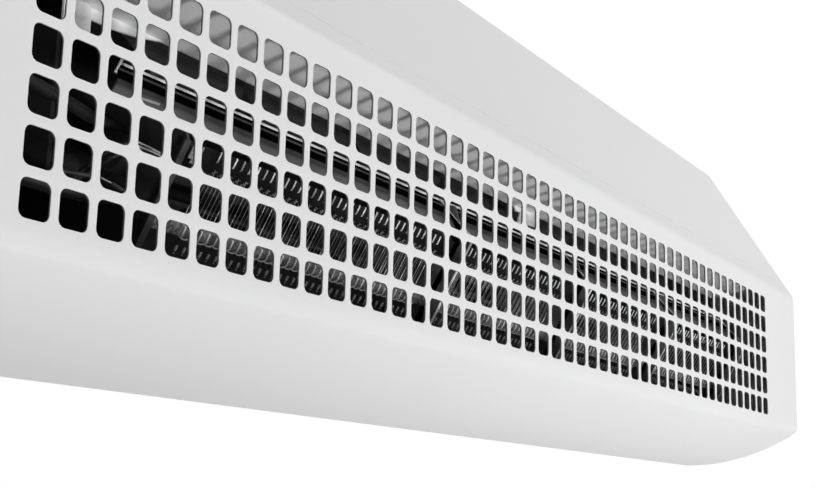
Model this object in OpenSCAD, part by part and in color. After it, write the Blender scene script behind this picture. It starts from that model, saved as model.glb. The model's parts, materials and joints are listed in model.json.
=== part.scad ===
// Warm-air curtain for a doorway: wall-hung sheet-metal casing, perforated inlet,
// stitched-wire heater, cross-flow impeller and a downward outlet with one vane.
// Millimetres. X runs along the unit, +Y into the wall, +Z up.
// Origin: centre of the wall screw pattern, in the plane of the wall.

/* [Body] */
// Overall length over the two end caps
body_l = 932; // [900:4:1200]
// Depth of the casing from its front face to its rear panel
body_d = 216; // [216:1:240]
// Height of the flat perforated face
face_h = 112; // [110:1:120]
// Height of the lower front bend above the lowest line
foot_h = 28; // [26:1:30]
// Depth covered by the sloping upper front
slope_d = 72; // [66:1:80]
// Height covered by the sloping upper front
slope_h = 116; // [110:1:130]
// Radius of the curved underside
belly_r = 175; // [160:1:200]
// Depth covered by the curved underside
belly_d = 95; // [92:1:96]
// Sheet thickness of the casing
sheet_t = 1.2; // [1:0.1:1.5]
// Outer radius of the lower front bend
foot_r = 8; // [6:0.5:12]
// Outer radius of the upper front bend
brow_r = 10; // [6:0.5:14]
// Outer radius of the bend between slope and top
crown_r = 6; // [4:0.5:12]
// Outer radius of the two rear bends
rear_r = 3; // [2.5:0.5:6]
// Distance of the cover seam up the slope from the upper front bend
seam_up = 14; // [12:1:20]
// Width of the joggled lip behind the seam
lip_w = 10; // [6:1:10]
// Height of the rear underside above the lowest line
heel_h = 16; // [15:0.5:20]

/* [Grille] */
// Number of hole columns
grille_cols = 48; // [20:1:50]
// Number of hole rows
grille_rows = 6; // [3:1:6]
// Distance between neighbouring hole centres
hole_pitch = 16; // [14:0.5:16]
// Width and height of one hole
hole_w = 12.4; // [9:0.1:13]
// Corner radius of one hole
hole_r = 2.7; // [1:0.1:4]
// Height of the lowest row of holes above the lower front bend
grille_low = 14; // [14:0.5:18]

/* [Outlet] */
// Depth from the front face to the front wall of the outlet
outlet_y0 = 105; // [104:1:108]
// Distance of the outlet's rear wall from the rear panel
outlet_back = 41; // [40:1:44]
// Height of the bottom panel above the lowest line
floor_h = 12; // [12:0.5:14]
// Chord of the air vane
vane_chord = 44; // [36:1:48]
// Thickness of the air vane
vane_t = 5; // [4:0.5:7]
// Height of the vane pivot above the lowest line
vane_h = 32; // [31:0.5:36]
// Radius of the vane pivot pins
vane_pin_r = 2.25; // [2:0.25:3]
// Width of the visible outlet trim
trim_w = 5; // [3:0.5:5]
// Thickness of the outlet trim
trim_t = 1.5; // [1:0.25:1.5]

/* [Fan] */
// Outer radius of the impeller
fan_r = 50; // [46:1:52]
// Inner radius of the blade ring
ring_r = 40; // [38:1:42]
// Distance of the impeller axis from the rear panel
fan_back = 91; // [90:1:92]
// Height of the impeller axis above the lowest line
fan_z = 122; // [120:1:124]
// Number of blades
blade_n = 28; // [20:2:32]
// Radius of curvature of one blade
blade_r = 8; // [7:0.5:10]
// Thickness of one blade
blade_t = 0.8; // [0.6:0.1:1]
// Number of sections between discs
fan_sections = 7; // [5:1:8]
// Thickness of one disc
disc_t = 1.5; // [1.2:0.1:2.5]
// Radius of the drive shaft
shaft_r = 4; // [3.5:0.25:5]
// Running clearance of a shaft in its bore
run_gap = 0.05; // [0.02:0.01:0.1]
// Length of the bay with the motor, from the left end
motor_bay = 188; // [186:1:196]
// Length of the bay with the far bearing, from the right end
bearing_bay = 79; // [70:1:90]
// Clearance between the impeller and the end plates
side_gap = 6; // [4:0.5:10]
// Sheet thickness of the inner parts
inner_t = 1; // [0.8:0.1:1]
// Radius of the scroll where it starts
scroll_r0 = 68; // [66:1:69]
// Radius of the scroll where it meets the outlet
scroll_r1 = 80; // [77:1:81]
// Gap between the impeller and the tongue
tongue_gap = 5; // [4:0.5:6]

/* [Heater] */
// Depth of the heater's upper edge behind the front face
nose_y = 27; // [25:0.5:28]
// Height of the heater's upper edge above the lowest line
nose_z = 91; // [90:0.5:92]
// Lean of the heater from the vertical, in degrees
lean = 29.5; // [28:0.5:31]
// Length of one right-hand heater module
module_l = 152; // [140:1:156]
// Distance between neighbouring wires of one winding
wire_pitch = 4.9; // [4.8:0.1:8]
// Thickness of the heater wire
wire_t = 0.8; // [0.6:0.1:1]
// Thickness of an insulating strip
strip_t = 1.6; // [1.2:0.1:2]

/* [Motor] */
// Outer radius of the motor body
motor_r = 42; // [38:1:44]
// Length of the motor body
motor_l = 62; // [54:1:64]
// Length of the rubber mounts between fan plate and motor plate
mount_l = 18; // [14:1:20]
// Half spacing of the rubber mounts
mount_s = 37; // [36:0.5:38]

/* [Wall brackets] */
// Gap between the wall and the rear panel
wall_gap = 12; // [10:1:16]
// Spacing of the wall screws along the unit
wall_pitch_x = 600; // [500:10:640]
// Spacing of the wall screws up and down
wall_pitch_z = 80; // [60:5:90]
// Radius of the wall screw holes
wall_hole_r = 4.25; // [3:0.25:5]
// Width of one wall bracket
bracket_w = 60; // [40:5:70]
// Thickness of one wall bracket
bracket_t = 2.5; // [2:0.25:3]
// Height of the screw pattern's centre above the lowest line
wall_z = 140; // [136:1:146]

/* [Hidden] */
$fn = 48;

seat = 0.02;
play = 0.05;
weld = 1;
face_top = foot_h + face_h;
height = face_top + slope_h;
half_l = body_l / 2;
front = -(wall_gap + body_d);
slope_a = atan2(slope_h, slope_d);
slope_n = 90 + slope_a;
slope_u = [cos(slope_a), sin(slope_a)];
casing_x = half_l - sheet_t;

// Bends of the casing, as centres in the section plane (depth, height).
belly_c = [belly_d, belly_r];
foot_c = [foot_r, belly_r - sqrt(pow(belly_r - foot_r, 2) - pow(belly_d - foot_r, 2))];
foot_n = 180 + atan2(belly_c[1] - foot_c[1], belly_c[0] - foot_c[0]);
brow_c = [brow_r, face_top - brow_r * tan((180 - slope_n) / 2)];
crown_c = [slope_d + crown_r * tan((slope_n - 90) / 2), height - crown_r];
heel_r = 2.5;
lip_h = 30;
seam_p = [0, face_top] + seam_up * slope_u;

// Bottom panel: its side flanges and the centres of its two upward bends.
outlet_y1 = body_d - outlet_back;
panel_y0 = belly_d + heel_r;
panel_y1 = outlet_y1 + 14;
panel_r = 1;
panel_c0 = [panel_y0 + sheet_t + panel_r, floor_h + sheet_t + panel_r];
panel_c1 = [panel_y1 - sheet_t - panel_r, floor_h + sheet_t + panel_r];
floor_top = floor_h + sheet_t;
corner_cut = 1.2;

// Screw tabs of the end caps: width, and where each one starts and how long it is.
tab_w = 12;
tab_l = 60;
roof_tab_y = crown_c[0] + 30;
rear_tab_z = 90;
face_tab_z = foot_c[1] + 6;
face_tab_l = 90;
cap_screw_r = 3.5;
cap_screw_h = 2;
cap_screw_in = 7;
cap_screw_z = [rear_tab_z + 10, rear_tab_z + 50];

// Hooks of the wall brackets and their slots.
hook_z = wall_z + wall_pitch_z / 2 + 16;
hook_rise = 14;
slot_play = 1;
bracket_low = 18;

// Ends of the fan housing and the heater plates along X.
fan_y = body_d - fan_back;
fan_c = [fan_y, fan_z];
fan_x0 = -half_l + motor_bay;
fan_x1 = half_l - bearing_bay;
plate_t = 1.5;
divider_x = [for (i = [1:3]) fan_x1 - i * module_l];
bay_x = concat([fan_x0], [divider_x[2], divider_x[1], divider_x[0]], [fan_x1]);
duct_x1 = fan_x1 - plate_t;
hood_over = 28;
ceiling_over = 58;

// Impeller.
wheel_x0 = fan_x0 + side_gap;
wheel_x1 = fan_x1 - side_gap;
wheel_rim = 8;
hub_r = 11;
hub_l = 14;
shaft_in = 22;
bush_l = 12;
bush_r = 9;
holder_r = 22;
shaft_hole_r = 14;
holder_hole_r = holder_r - 5;

// Scroll: its lip under the ceiling, and the flange on which it stands behind the outlet.
lip_a = 165;
corner_r = 3;
scroll_r = scroll_r1 + inner_t;
lip_c = fan_c + (scroll_r0 + inner_t + corner_r) * unit(lip_a);
ceiling_top = lip_c[1] - corner_r;
scroll_end = tangent_to([outlet_y1 + inner_t, floor_top], fan_c, scroll_r);
foot_bend = 2;
foot_base = fan_c + (scroll_r + foot_bend) * unit(scroll_end);
foot_z = floor_top + inner_t + foot_bend;
foot_centre = foot_base
    + unit(scroll_end - 90) * (foot_z - foot_base[1]) / unit(scroll_end - 90)[1];

// Heater plane: s runs down the slope, m stands out towards the front.
down = [sin(lean), -cos(lean)];
out = [-cos(lean), -sin(lean)];
nose = [nose_y, nose_z];
strip_s = [2, 32.5];
strip_w = [9, 6];
front_run = [1.5, 39];
rear_run = [7, 45];
wire_lead = 3;
end_margin = 7;
first_margin = 20;
heater_end = nose + down * 50;
tab_s = [3, 8];
tab_x = [1, 6];
tab_t = 3;

// Hood: an arc over the heater, with its top edge folded back on itself.
hood_r = 45;
hood_c = nose + [42.9, -10.8];
hood_a0 = 162;
hood_a1 = 135;
hood_nose_r = 3;
hood_nose_l = 1.2;
hem_r = 0.2;
hem_l = 3.2;

// Front edge shared by the end plates and the dividers, an open angle.
plate_out = 2.3;
apex = nose + out * 3 - down * 2;
plate_brow = nose + [1.5, 17];
plate_top = nose + [13.8, 21];
wheel_room = 6;

// Tongue: its foot and its bend beside the impeller.
tongue_a = 236;
tongue_r = 6;
tongue_c = fan_c + (fan_r + tongue_gap + tongue_r) * unit(tongue_a);
tongue_p = heater_end + [3, -1];
tongue_n0 = tangent_from(tongue_p, tongue_c, tongue_r);
tongue_n1 = tangent_to([outlet_y0, floor_top], tongue_c, tongue_r);
tongue_foot = 3;
tongue_base = tongue_c + (tongue_r - tongue_foot) * unit(tongue_n1);
tongue_fc = tongue_base
    + unit(tongue_n1 - 90)
        * (floor_top + tongue_foot - tongue_base[1]) / unit(tongue_n1 - 90)[1];

// Outlet vane and trim.
vane_y = (outlet_y0 + outlet_y1) / 2;
vane_gap = 1.5;
support_t = 3;
support_r = 7;
pin_end = 0.2;
vane_x0 = fan_x0 + support_t + vane_gap;
vane_x1 = duct_x1 - support_t - vane_gap;
trim_screw_r = 2;
trim_screw_h = 1;
trim_screw_in = 30;

// Motor bay.
motor_plate_t = 2;
motor_x1 = fan_x0 - plate_t - mount_l - motor_plate_t;
motor_x0 = motor_x1 - motor_l;
motor_step = 7;
motor_cap_l = 10;
motor_ribs = 12;
rib_w = 2;
rib_h = 2;
mount_r = 6;
motor_plate_s = mount_s + 9;
stat_c = nose + [30, -5];
stat_r = 8;
stat_l = 10;
can_r = 18;
can_c = [fan_y + 45, height - 34];
can_in = 4;
can_foot = 30;
can_foot_in = 20;

// Controls at the left end.
box_x0 = -casing_x + tab_w + 1;
box_x1 = -half_l + 96;
box_y0 = 44;
box_z0 = 30;
box_z1 = 200;
block_x0 = -half_l + 20;
block_l = 60;
block_d = 26;
block_z = [150, 172];
block_pitch = 12;
block_hole_r = 3;
block_hole_l = 11;
gland_x = -half_l + 60;
gland_y = body_d - 50;
gland_r = 10;
gland_bore_r = 5;
gland_up = 16;
gland_down = 8;
nut_t = 5;

function unit(a) = [cos(a), sin(a)];
function ang(v) = atan2(v[1], v[0]);

// A sheet is a list of stations: a point of its outer face and the normal there.
function flat_at(p, a) = [[p, unit(a)]];
function bend(c, r, a0, a1, n = 5) =
    [for (i = [0:n]) let (a = a0 + (a1 - a0) * i / n) [c + r * unit(a), unit(a)]];
function hollow(c, r, a0, a1, n = 5) =
    [for (i = [0:n]) let (a = a0 + (a1 - a0) * i / n) [c - r * unit(a), unit(a)]];
function spiral(c, r0, r1, a0, a1, n = 20) =
    [for (i = [0:n]) let (f = i / n, a = a0 + (a1 - a0) * f)
        [c + (r0 + (r1 - r0) * f) * unit(a), unit(a)]];
function tangent_from(p, c, r) = 360 + ang(p - c) - acos(r / norm(p - c));
function tangent_to(p, c, r) = ang(p - c) + acos(r / norm(p - c));

// Outline of the whole casing in section, for the end caps.
function casing_outline() = concat(
    bend(foot_c, foot_r, foot_n, 180, 6),
    bend(brow_c, brow_r, 180, slope_n, 5),
    bend(crown_c, crown_r, slope_n, 90, 5),
    bend([body_d - rear_r, height - rear_r], rear_r, 90, 0, 4),
    bend([body_d - rear_r, heel_h + rear_r], rear_r, 0, -90, 4),
    flat_at([panel_y1, heel_h], -90),
    flat_at([panel_y1, floor_h], -90),
    flat_at([panel_y0, floor_h], -90),
    bend([belly_d, heel_r], heel_r, 0, -90, 4),
    bend(belly_c, belly_r, 270, foot_n, 14));

function points(st, d = 0) = [for (s = st) s[0] - d * s[1]];
function reversed(v) = [for (i = [len(v) - 1:-1:0]) v[i]];

module sheet(st, t) {
    polygon(concat(points(st), reversed(points(st, t))));
}

// Draws a section (depth, height) from x0 to x1 along the unit.
module along(x0, x1) {
    translate([x0, front, -wall_z])
        rotate([90, 0, 90])
            linear_extrude(height = x1 - x0)
                children();
}

// A round bar along X in the section's own coordinates.
module bar(x0, x1, p, r) {
    translate([x0, front + p[0], p[1] - wall_z])
        rotate([0, 90, 0])
            cylinder(r = r, h = x1 - x0);
}

module box_at(x0, x1, y0, y1, z0, z1) {
    translate([x0, front + y0, z0 - wall_z])
        cube([x1 - x0, y1 - y0, z1 - z0]);
}

// ---------------------------------------------------------------- casing

module rounded_square(w, r) {
    union() {
        square([w, w - 2 * r], center = true);
        square([w - 2 * r, w], center = true);
        for (i = [-1, 1], j = [-1, 1])
            translate([i * (w / 2 - r), j * (w / 2 - r)])
                circle(r = r);
    }
}

module perforated_face() {
    z0 = foot_c[1];
    z1 = brow_c[1];
    width = 2 * casing_x;
    translate([0, front + sheet_t, -wall_z])
        rotate([90, 0, 0])
            linear_extrude(height = sheet_t)
                difference() {
                    translate([-width / 2, z0])
                        square([width, z1 - z0]);
                    for (i = [0:grille_cols - 1], j = [0:grille_rows - 1])
                        translate([(i - (grille_cols - 1) / 2) * hole_pitch,
                                   foot_h + grille_low + j * hole_pitch])
                            rounded_square(hole_w, hole_r);
                }
}

module front_cover() {
    color("WhiteSmoke")
        union() {
            perforated_face();
            along(-casing_x, casing_x)
                sheet(concat(flat_at(seam_p, slope_n),
                             bend(brow_c, brow_r, slope_n, 180, 5),
                             flat_at([0, brow_c[1] - weld], 180)), sheet_t);
            along(-casing_x, casing_x)
                sheet(concat(flat_at([0, foot_c[1] + weld], 180),
                             bend(foot_c, foot_r, 180, foot_n, 6),
                             bend(belly_c, belly_r, foot_n, 270, 14),
                             bend([belly_d, heel_r], heel_r, 270, 360, 4),
                             flat_at([panel_y0, lip_h], 0)), sheet_t);
        }
}

module upper_casing() {
    n = unit(slope_n);
    inner = seam_p - sheet_t * n;
    color("White")
        difference() {
            union() {
                along(-casing_x, casing_x)
                    sheet(concat(flat_at(seam_p, slope_n),
                                 bend(crown_c, crown_r, slope_n, 90, 5),
                                 bend([body_d - rear_r, height - rear_r], rear_r, 90, 0, 4),
                                 bend([body_d - rear_r, heel_h + rear_r], rear_r, 0, -90, 4),
                                 flat_at([panel_y1, heel_h], -90)), sheet_t);
                along(-casing_x, casing_x)
                    polygon([inner - lip_w * slope_u - seat * n,
                             inner + seat * slope_u - seat * n,
                             inner + seat * slope_u + sheet_t / 2 * n,
                             inner + lip_w * slope_u + sheet_t / 2 * n,
                             inner + lip_w * slope_u - sheet_t * n,
                             inner - lip_w * slope_u - sheet_t * n]);
            }
            for (i = [-1, 1])
                hanging_slot(i * wall_pitch_x / 2);
            gland_hole();
        }
}

// Slot in the rear panel through which a bracket's hook enters.
module hanging_slot(x) {
    box_at(x - bracket_w / 2 - slot_play, x + bracket_w / 2 + slot_play,
           body_d - 2 * sheet_t, body_d + 1, hook_z, hook_z + bracket_t);
}

// The stations of the bottom panel run along its inner face.
module bottom_panel() {
    color("Gainsboro")
        difference() {
            along(-casing_x, casing_x)
                sheet(concat(flat_at([panel_y0 + sheet_t, lip_h], 0),
                             hollow(panel_c0, panel_r, 0, 90, 4),
                             hollow(panel_c1, panel_r, 90, 180, 4),
                             flat_at([panel_y1 - sheet_t, lip_h], 180)), sheet_t);
            box_at(fan_x0, duct_x1, outlet_y0, outlet_y1, floor_h - weld, floor_top + weld);
        }
}

module end_cap(side) {
    x = side * (half_l - sheet_t / 2);
    color("White")
        union() {
            along(x - sheet_t / 2, x + sheet_t / 2)
                polygon(points(casing_outline()));
            cap_tabs(side);
        }
}

// Screw tabs inside the end caps, against the top, the rear panel and the front.
module cap_tabs(side) {
    a = side > 0 ? casing_x - tab_w : -casing_x;
    b = a + tab_w;
    box_at(a, b, roof_tab_y, roof_tab_y + tab_l, height - 2 * sheet_t, height - sheet_t);
    box_at(a, b, body_d - 2 * sheet_t, body_d - sheet_t, rear_tab_z, rear_tab_z + tab_l);
    box_at(a, b, sheet_t, 2 * sheet_t, face_tab_z, face_tab_z + face_tab_l);
}

module end_cap_left() {
    end_cap(-1);
}

module end_cap_right() {
    end_cap(1);
}

// ---------------------------------------------------------------- wall brackets

module wall_bracket(x) {
    z0 = wall_z - wall_pitch_z / 2 - bracket_low;
    z1 = hook_z + bracket_t;
    y1 = body_d + wall_gap;
    difference() {
        union() {
            box_at(x - bracket_w / 2, x + bracket_w / 2, y1 - bracket_t, y1, z0, z1);
            box_at(x - bracket_w / 2, x + bracket_w / 2,
                   body_d - sheet_t - bracket_t, y1, hook_z, z1);
            box_at(x - bracket_w / 2, x + bracket_w / 2,
                   body_d - sheet_t - bracket_t, body_d - sheet_t, hook_z, z1 + hook_rise);
            box_at(x - bracket_w / 2, x + bracket_w / 2,
                   body_d, y1, z0, z0 + bracket_t);
        }
        for (j = [-1, 1])
            translate([x, 1, j * wall_pitch_z / 2])
                rotate([90, 0, 0])
                    cylinder(r = wall_hole_r, h = bracket_t + 2);
    }
}

module wall_brackets() {
    color("Silver")
        for (i = [-1, 1])
            wall_bracket(i * wall_pitch_x / 2);
}

// ---------------------------------------------------------------- air path

module ceiling_profile() {
    sheet(concat(flat_at([sheet_t + play, ceiling_top], 90),
                 hollow(lip_c, corner_r, 90, lip_a, 5)), inner_t);
}

module fan_scroll() {
    color("Gainsboro")
        union() {
            along(fan_x0 - ceiling_over, casing_x)
                ceiling_profile();
            along(fan_x0, duct_x1)
                sheet(concat(flat_at([sheet_t + play, ceiling_top], 90),
                             hollow(lip_c, corner_r, 90, lip_a, 5),
                             spiral(fan_c, scroll_r0 + inner_t, scroll_r, lip_a, 0, 24),
                             bend(fan_c, scroll_r, -4, scroll_end, 3),
                             hollow(foot_centre, foot_bend, scroll_end, 90, 4),
                             flat_at([panel_y1 - sheet_t - corner_cut,
                                      floor_top + inner_t], 90)),
                      inner_t);
        }
}

module tongue() {
    color("LightGray")
        along(fan_x0, duct_x1)
            sheet(concat(flat_at(tongue_p, tongue_n0),
                         bend(tongue_c, tongue_r, tongue_n0, tongue_n1, 8),
                         bend(tongue_fc, tongue_foot, tongue_n1, -90, 4),
                         flat_at([panel_y0 + sheet_t + corner_cut, floor_top], -90)),
                  inner_t);
}

// ---------------------------------------------------------------- heater

function hood_path() =
    let (nose_c = hood_c + (hood_r - hood_nose_r) * unit(hood_a0),
         top = hood_c + hood_r * unit(hood_a1),
         hem = top + 2 * hem_r * unit(hood_a1))
    concat(flat_at(nose_c + hood_nose_r * unit(180 + lean) + down * hood_nose_l, 180 + lean),
           bend(nose_c, hood_nose_r, 180 + lean, hood_a0, 3),
           bend(hood_c, hood_r, hood_a0, hood_a1, 6),
           hollow(top + hem_r * unit(hood_a1), hem_r, hood_a1, hood_a1 + 180, 8),
           flat_at(hem - hem_l * unit(hood_a1 - 90), hood_a1 + 180));

module hood_piece(x0, x1) {
    along(x0 + play, x1 - play)
        sheet(hood_path(), inner_t);
}

module heater_hood() {
    color("Silver") {
        hood_piece(fan_x0 - plate_t - hood_over, fan_x0 - plate_t);
        for (b = [0:3])
            hood_piece(bay_x[b], bay_x[b + 1] - plate_t);
    }
}

function plate_front() = [heater_end + out * plate_out, apex, plate_brow];

module plate_2d() {
    difference() {
        polygon(concat(plate_front(), [plate_top],
            [[lip_c[0] + 3 * corner_r, ceiling_top - inner_t]],
            [for (i = [0:10]) fan_c + (scroll_r1 + wheel_room) * unit(150 - 12 * i)],
            [[body_d - sheet_t, fan_z - wheel_room], [body_d - sheet_t, lip_h + panel_r],
             [panel_y1 - sheet_t, lip_h + panel_r],
             [panel_y1 - sheet_t, floor_top + corner_cut],
             [panel_y1 - sheet_t - corner_cut, floor_top],
             [panel_y0 + sheet_t + corner_cut, floor_top],
             [panel_y0 + sheet_t, floor_top + corner_cut],
             [panel_y0 + sheet_t, lip_h]]));
        children();
    }
}

module divider(x) {
    along(x - plate_t, x)
        polygon(concat(plate_front(), [plate_top],
            [for (i = [0:6]) fan_c + (fan_r + wheel_room) * unit(tongue_a - 53 + i * 8)]));
}

module heater_dividers() {
    color("DimGray")
        for (x = divider_x)
            divider(x);
}

// A rectangle on the heater plane: s0 to s1 down the slope, m0 to m1 outwards.
module plane_box(x0, x1, s0, s1, m0, m1) {
    along(x0, x1)
        polygon([nose + down * s0 + out * m0, nose + down * s1 + out * m0,
                 nose + down * s1 + out * m1, nose + down * s0 + out * m1]);
}

module insulating_strips() {
    color("Tan")
        for (b = [0:3], k = [0, 1])
            plane_box(bay_x[b], bay_x[b + 1] - plate_t, strip_s[k],
                      strip_s[k] + strip_w[k], -strip_t, 0);
}

// Serpentine centre line in the heater plane, as stations for sheet().
function serpentine(n, s0, s1, x0) = [
    for (i = [0:n - 1], st = i % 2 == 0
        ? hollow_turn(x0 + (i + 0.5) * wire_pitch, s1 - wire_pitch / 2, i)
        : bend_turn(x0 + (i + 0.5) * wire_pitch, s0 + wire_pitch / 2, i)) st];
function hollow_turn(x, s, i) =
    [for (k = [0:4]) let (a = 180 + k * 45) [[x, s] + [cos(a), -sin(a)] * (wire_pitch / 2), [cos(a), -sin(a)]]];
function bend_turn(x, s, i) =
    [for (k = [0:4]) let (a = 180 - k * 45) [[x, s] + [cos(a), -sin(a)] * (wire_pitch / 2), [-cos(a), sin(a)]]];

module winding(n, s0, s1, x0) {
    st = concat([[[x0, s0 - wire_lead], [-1, 0]]], serpentine(n, s0, s1, x0));
    last = st[len(st) - 1];
    path = concat(st, [[[last[0][0], s0 - wire_lead], last[1]]]);
    a = [for (p = path) p[0] + p[1] * wire_t / 2];
    b = [for (p = path) p[0] - p[1] * wire_t / 2];
    polygon(concat(a, reversed(b)));
}

// Lays a drawing (x, s) on the heater plane, with its lower face m0 in front of it.
module on_plane(m0) {
    translate([0, front + nose_y + out[0] * m0, nose_z + out[1] * m0 - wall_z])
        rotate([-90 + lean, 0, 0])
            mirror([0, 0, 1])
                linear_extrude(height = wire_t)
                    children();
}

module heater_wires() {
    color("DarkGray")
        for (b = [0:3]) {
            x0 = bay_x[b] + (b == 0 ? first_margin : end_margin);
            run = bay_x[b + 1] - plate_t - end_margin - x0;
            n = floor(run / wire_pitch / 2) * 2 - 1;
            on_plane(seat)
                winding(n, front_run[0], front_run[1], x0);
            on_plane(-strip_t - wire_t - seat)
                winding(n, rear_run[0], rear_run[1], x0 + wire_pitch / 2);
        }
}

module heater_terminals() {
    color("Goldenrod")
        for (b = [0:3])
            plane_box(bay_x[b] + tab_x[0], bay_x[b] + tab_x[1], tab_s[0], tab_s[1], 0, tab_t);
}

// ---------------------------------------------------------------- fan

module blade() {
    a0 = 20;
    a1 = 112;
    translate([(fan_r + ring_r) / 2 - 3, -blade_r + 1])
        intersection() {
            difference() {
                circle(r = blade_r);
                circle(r = blade_r - blade_t);
            }
            polygon([[0, 0], 2 * blade_r * unit(a0), 3 * blade_r * unit((a0 + a1) / 2),
                     2 * blade_r * unit(a1)]);
        }
}

module on_fan_axis(x0, x1) {
    translate([x0, front + fan_y, fan_z - wall_z])
        rotate([90, 0, 90])
            linear_extrude(height = x1 - x0)
                children();
}

module impeller() {
    pitch = (wheel_x1 - wheel_x0 - disc_t) / fan_sections;
    color("LightSteelBlue")
        difference() {
            union() {
                for (i = [0:blade_n - 1])
                    on_fan_axis(wheel_x0, wheel_x1)
                        rotate(i * 360 / blade_n)
                            blade();
                for (i = [0:fan_sections])
                    on_fan_axis(wheel_x0 + i * pitch, wheel_x0 + i * pitch + disc_t)
                        difference() {
                            circle(r = fan_r);
                            if (i > 0 && i < fan_sections)
                                circle(r = ring_r - wheel_rim);
                        }
                on_fan_axis(wheel_x0 + disc_t, wheel_x0 + disc_t + hub_l)
                    circle(r = hub_r);
                on_fan_axis(wheel_x1 - disc_t - hub_l, wheel_x1 - disc_t)
                    circle(r = hub_r);
            }
            on_fan_axis(wheel_x0 - 1, wheel_x0 + shaft_in)
                circle(r = shaft_r);
            on_fan_axis(wheel_x1 - shaft_in, wheel_x1 + 1)
                circle(r = shaft_r);
        }
}

module drive_shaft() {
    color("Gray")
        bar(motor_x0 + 6, wheel_x0 + disc_t + hub_l, fan_c, shaft_r);
}

module stub_shaft() {
    color("Gray")
        bar(wheel_x1 - disc_t - hub_l, fan_x1 + bush_l + 2, fan_c, shaft_r);
}

module fan_plate_left() {
    color("Silver")
        along(fan_x0 - plate_t, fan_x0)
            plate_2d()
                translate(fan_c)
                    circle(r = shaft_hole_r);
}

module fan_plate_right() {
    color("Silver")
        along(fan_x1 - plate_t, fan_x1)
            plate_2d()
                translate(fan_c)
                    circle(r = holder_hole_r);
}

module bearing_holder() {
    color("DarkSlateGray")
        on_fan_axis(fan_x1, fan_x1 + bush_l)
            difference() {
                circle(r = holder_r);
                circle(r = bush_r);
            }
}

module bearing_bush() {
    color("Goldenrod")
        on_fan_axis(fan_x1, fan_x1 + bush_l)
            difference() {
                circle(r = bush_r);
                circle(r = shaft_r + run_gap);
            }
}

// ---------------------------------------------------------------- motor

module motor_body() {
    color("SlateGray")
        difference() {
            union() {
                bar(motor_x0 + motor_cap_l, motor_x1 - motor_cap_l, fan_c, motor_r);
                bar(motor_x0, motor_x1, fan_c, motor_r - motor_step);
                for (i = [0:motor_ribs - 1])
                    motor_rib(i * 360 / motor_ribs);
            }
            bar(motor_x0 - weld, motor_x1 + weld, fan_c, shaft_r + run_gap);
        }
}

module motor_rib(a) {
    translate([motor_x0 + motor_cap_l + rib_w, front + fan_y, fan_z - wall_z])
        rotate([a, 0, 0])
            translate([0, -rib_w / 2, motor_r - weld])
                cube([motor_l - 2 * motor_cap_l - 2 * rib_w, rib_w, rib_h + weld]);
}

module motor_plate() {
    color("Silver")
        on_fan_axis(motor_x1, motor_x1 + motor_plate_t)
            difference() {
                square(2 * motor_plate_s, center = true);
                circle(r = shaft_hole_r);
            }
}

module rubber_mounts() {
    color("Black")
        for (i = [-1, 1], j = [-1, 1])
            bar(fan_x0 - plate_t - mount_l, fan_x0 - plate_t,
                fan_c + [i * mount_s, j * mount_s], mount_r);
}

module run_capacitor() {
    color("WhiteSmoke")
        union() {
            bar(motor_x0 + can_in, motor_x1 - can_in, can_c, can_r);
            box_at(motor_x0 + can_foot_in, motor_x1 - can_foot_in,
                   can_c[0] - can_foot / 2, can_c[0] + can_foot / 2,
                   can_c[1] + can_r / 2, height - sheet_t);
        }
}

// ---------------------------------------------------------------- controls

module control_box() {
    y1 = body_d - sheet_t;
    color("DarkSlateGray")
        difference() {
            box_at(box_x0, box_x1, box_y0, y1, box_z0, box_z1);
            box_at(box_x0 + inner_t, box_x1 - inner_t, box_y0 + inner_t, y1 + weld,
                   box_z0 + inner_t, box_z1 - inner_t);
        }
}

module terminal_block() {
    y1 = body_d - sheet_t;
    y0 = y1 - block_d;
    color("Ivory")
        difference() {
            box_at(block_x0, block_x0 + block_l, y0, y1, block_z[0], block_z[1]);
            for (i = [0:4])
                translate([block_x0 + (i + 0.5) * block_pitch, front + y0 - weld,
                           (block_z[0] + block_z[1]) / 2 - wall_z])
                    rotate([-90, 0, 0])
                        cylinder(r = block_hole_r, h = block_hole_l + weld);
        }
}

module limit_thermostat() {
    color("Black")
        bar(fan_x0 - plate_t - stat_l, fan_x0 - plate_t, stat_c, stat_r);
}

module gland_hole() {
    translate([gland_x, front + gland_y, height - wall_z - 2 * sheet_t])
        cylinder(r = gland_r, h = 4 * sheet_t);
}

module cable_gland() {
    color("DimGray")
        translate([gland_x, front + gland_y, height - wall_z])
            difference() {
                union() {
                    cylinder(r = gland_r + 5, h = nut_t, $fn = 6);
                    cylinder(r = gland_r + 1, h = gland_up);
                    translate([0, 0, -gland_down])
                        cylinder(r = gland_r, h = gland_down + weld);
                    translate([0, 0, -sheet_t - nut_t])
                        cylinder(r = gland_r + 4, h = nut_t, $fn = 6);
                }
                translate([0, 0, -gland_down - weld])
                    cylinder(r = gland_bore_r, h = gland_up + gland_down + 2 * weld);
            }
}

// ---------------------------------------------------------------- outlet

// Four strips round the outlet, the long ones over the whole length.
module outlet_trim() {
    z0 = floor_h - trim_t;
    color("DimGray") {
        for (y = [outlet_y0 - trim_w, outlet_y1])
            box_at(fan_x0 - trim_w, duct_x1 + trim_w, y, y + trim_w, z0, floor_h);
        for (x = [fan_x0 - trim_w, duct_x1])
            box_at(x, x + trim_w, outlet_y0 + seat, outlet_y1 - seat, z0, floor_h);
    }
}

// Lens section of two equal arcs, its chord upright.
module vane_section() {
    bulge = vane_t / 2;
    r = (pow(vane_chord / 2, 2) + pow(bulge, 2)) / (2 * bulge);
    intersection() {
        translate([r - bulge, 0])
            circle(r = r, $fn = 720);
        translate([bulge - r, 0])
            circle(r = r, $fn = 720);
    }
}

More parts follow.
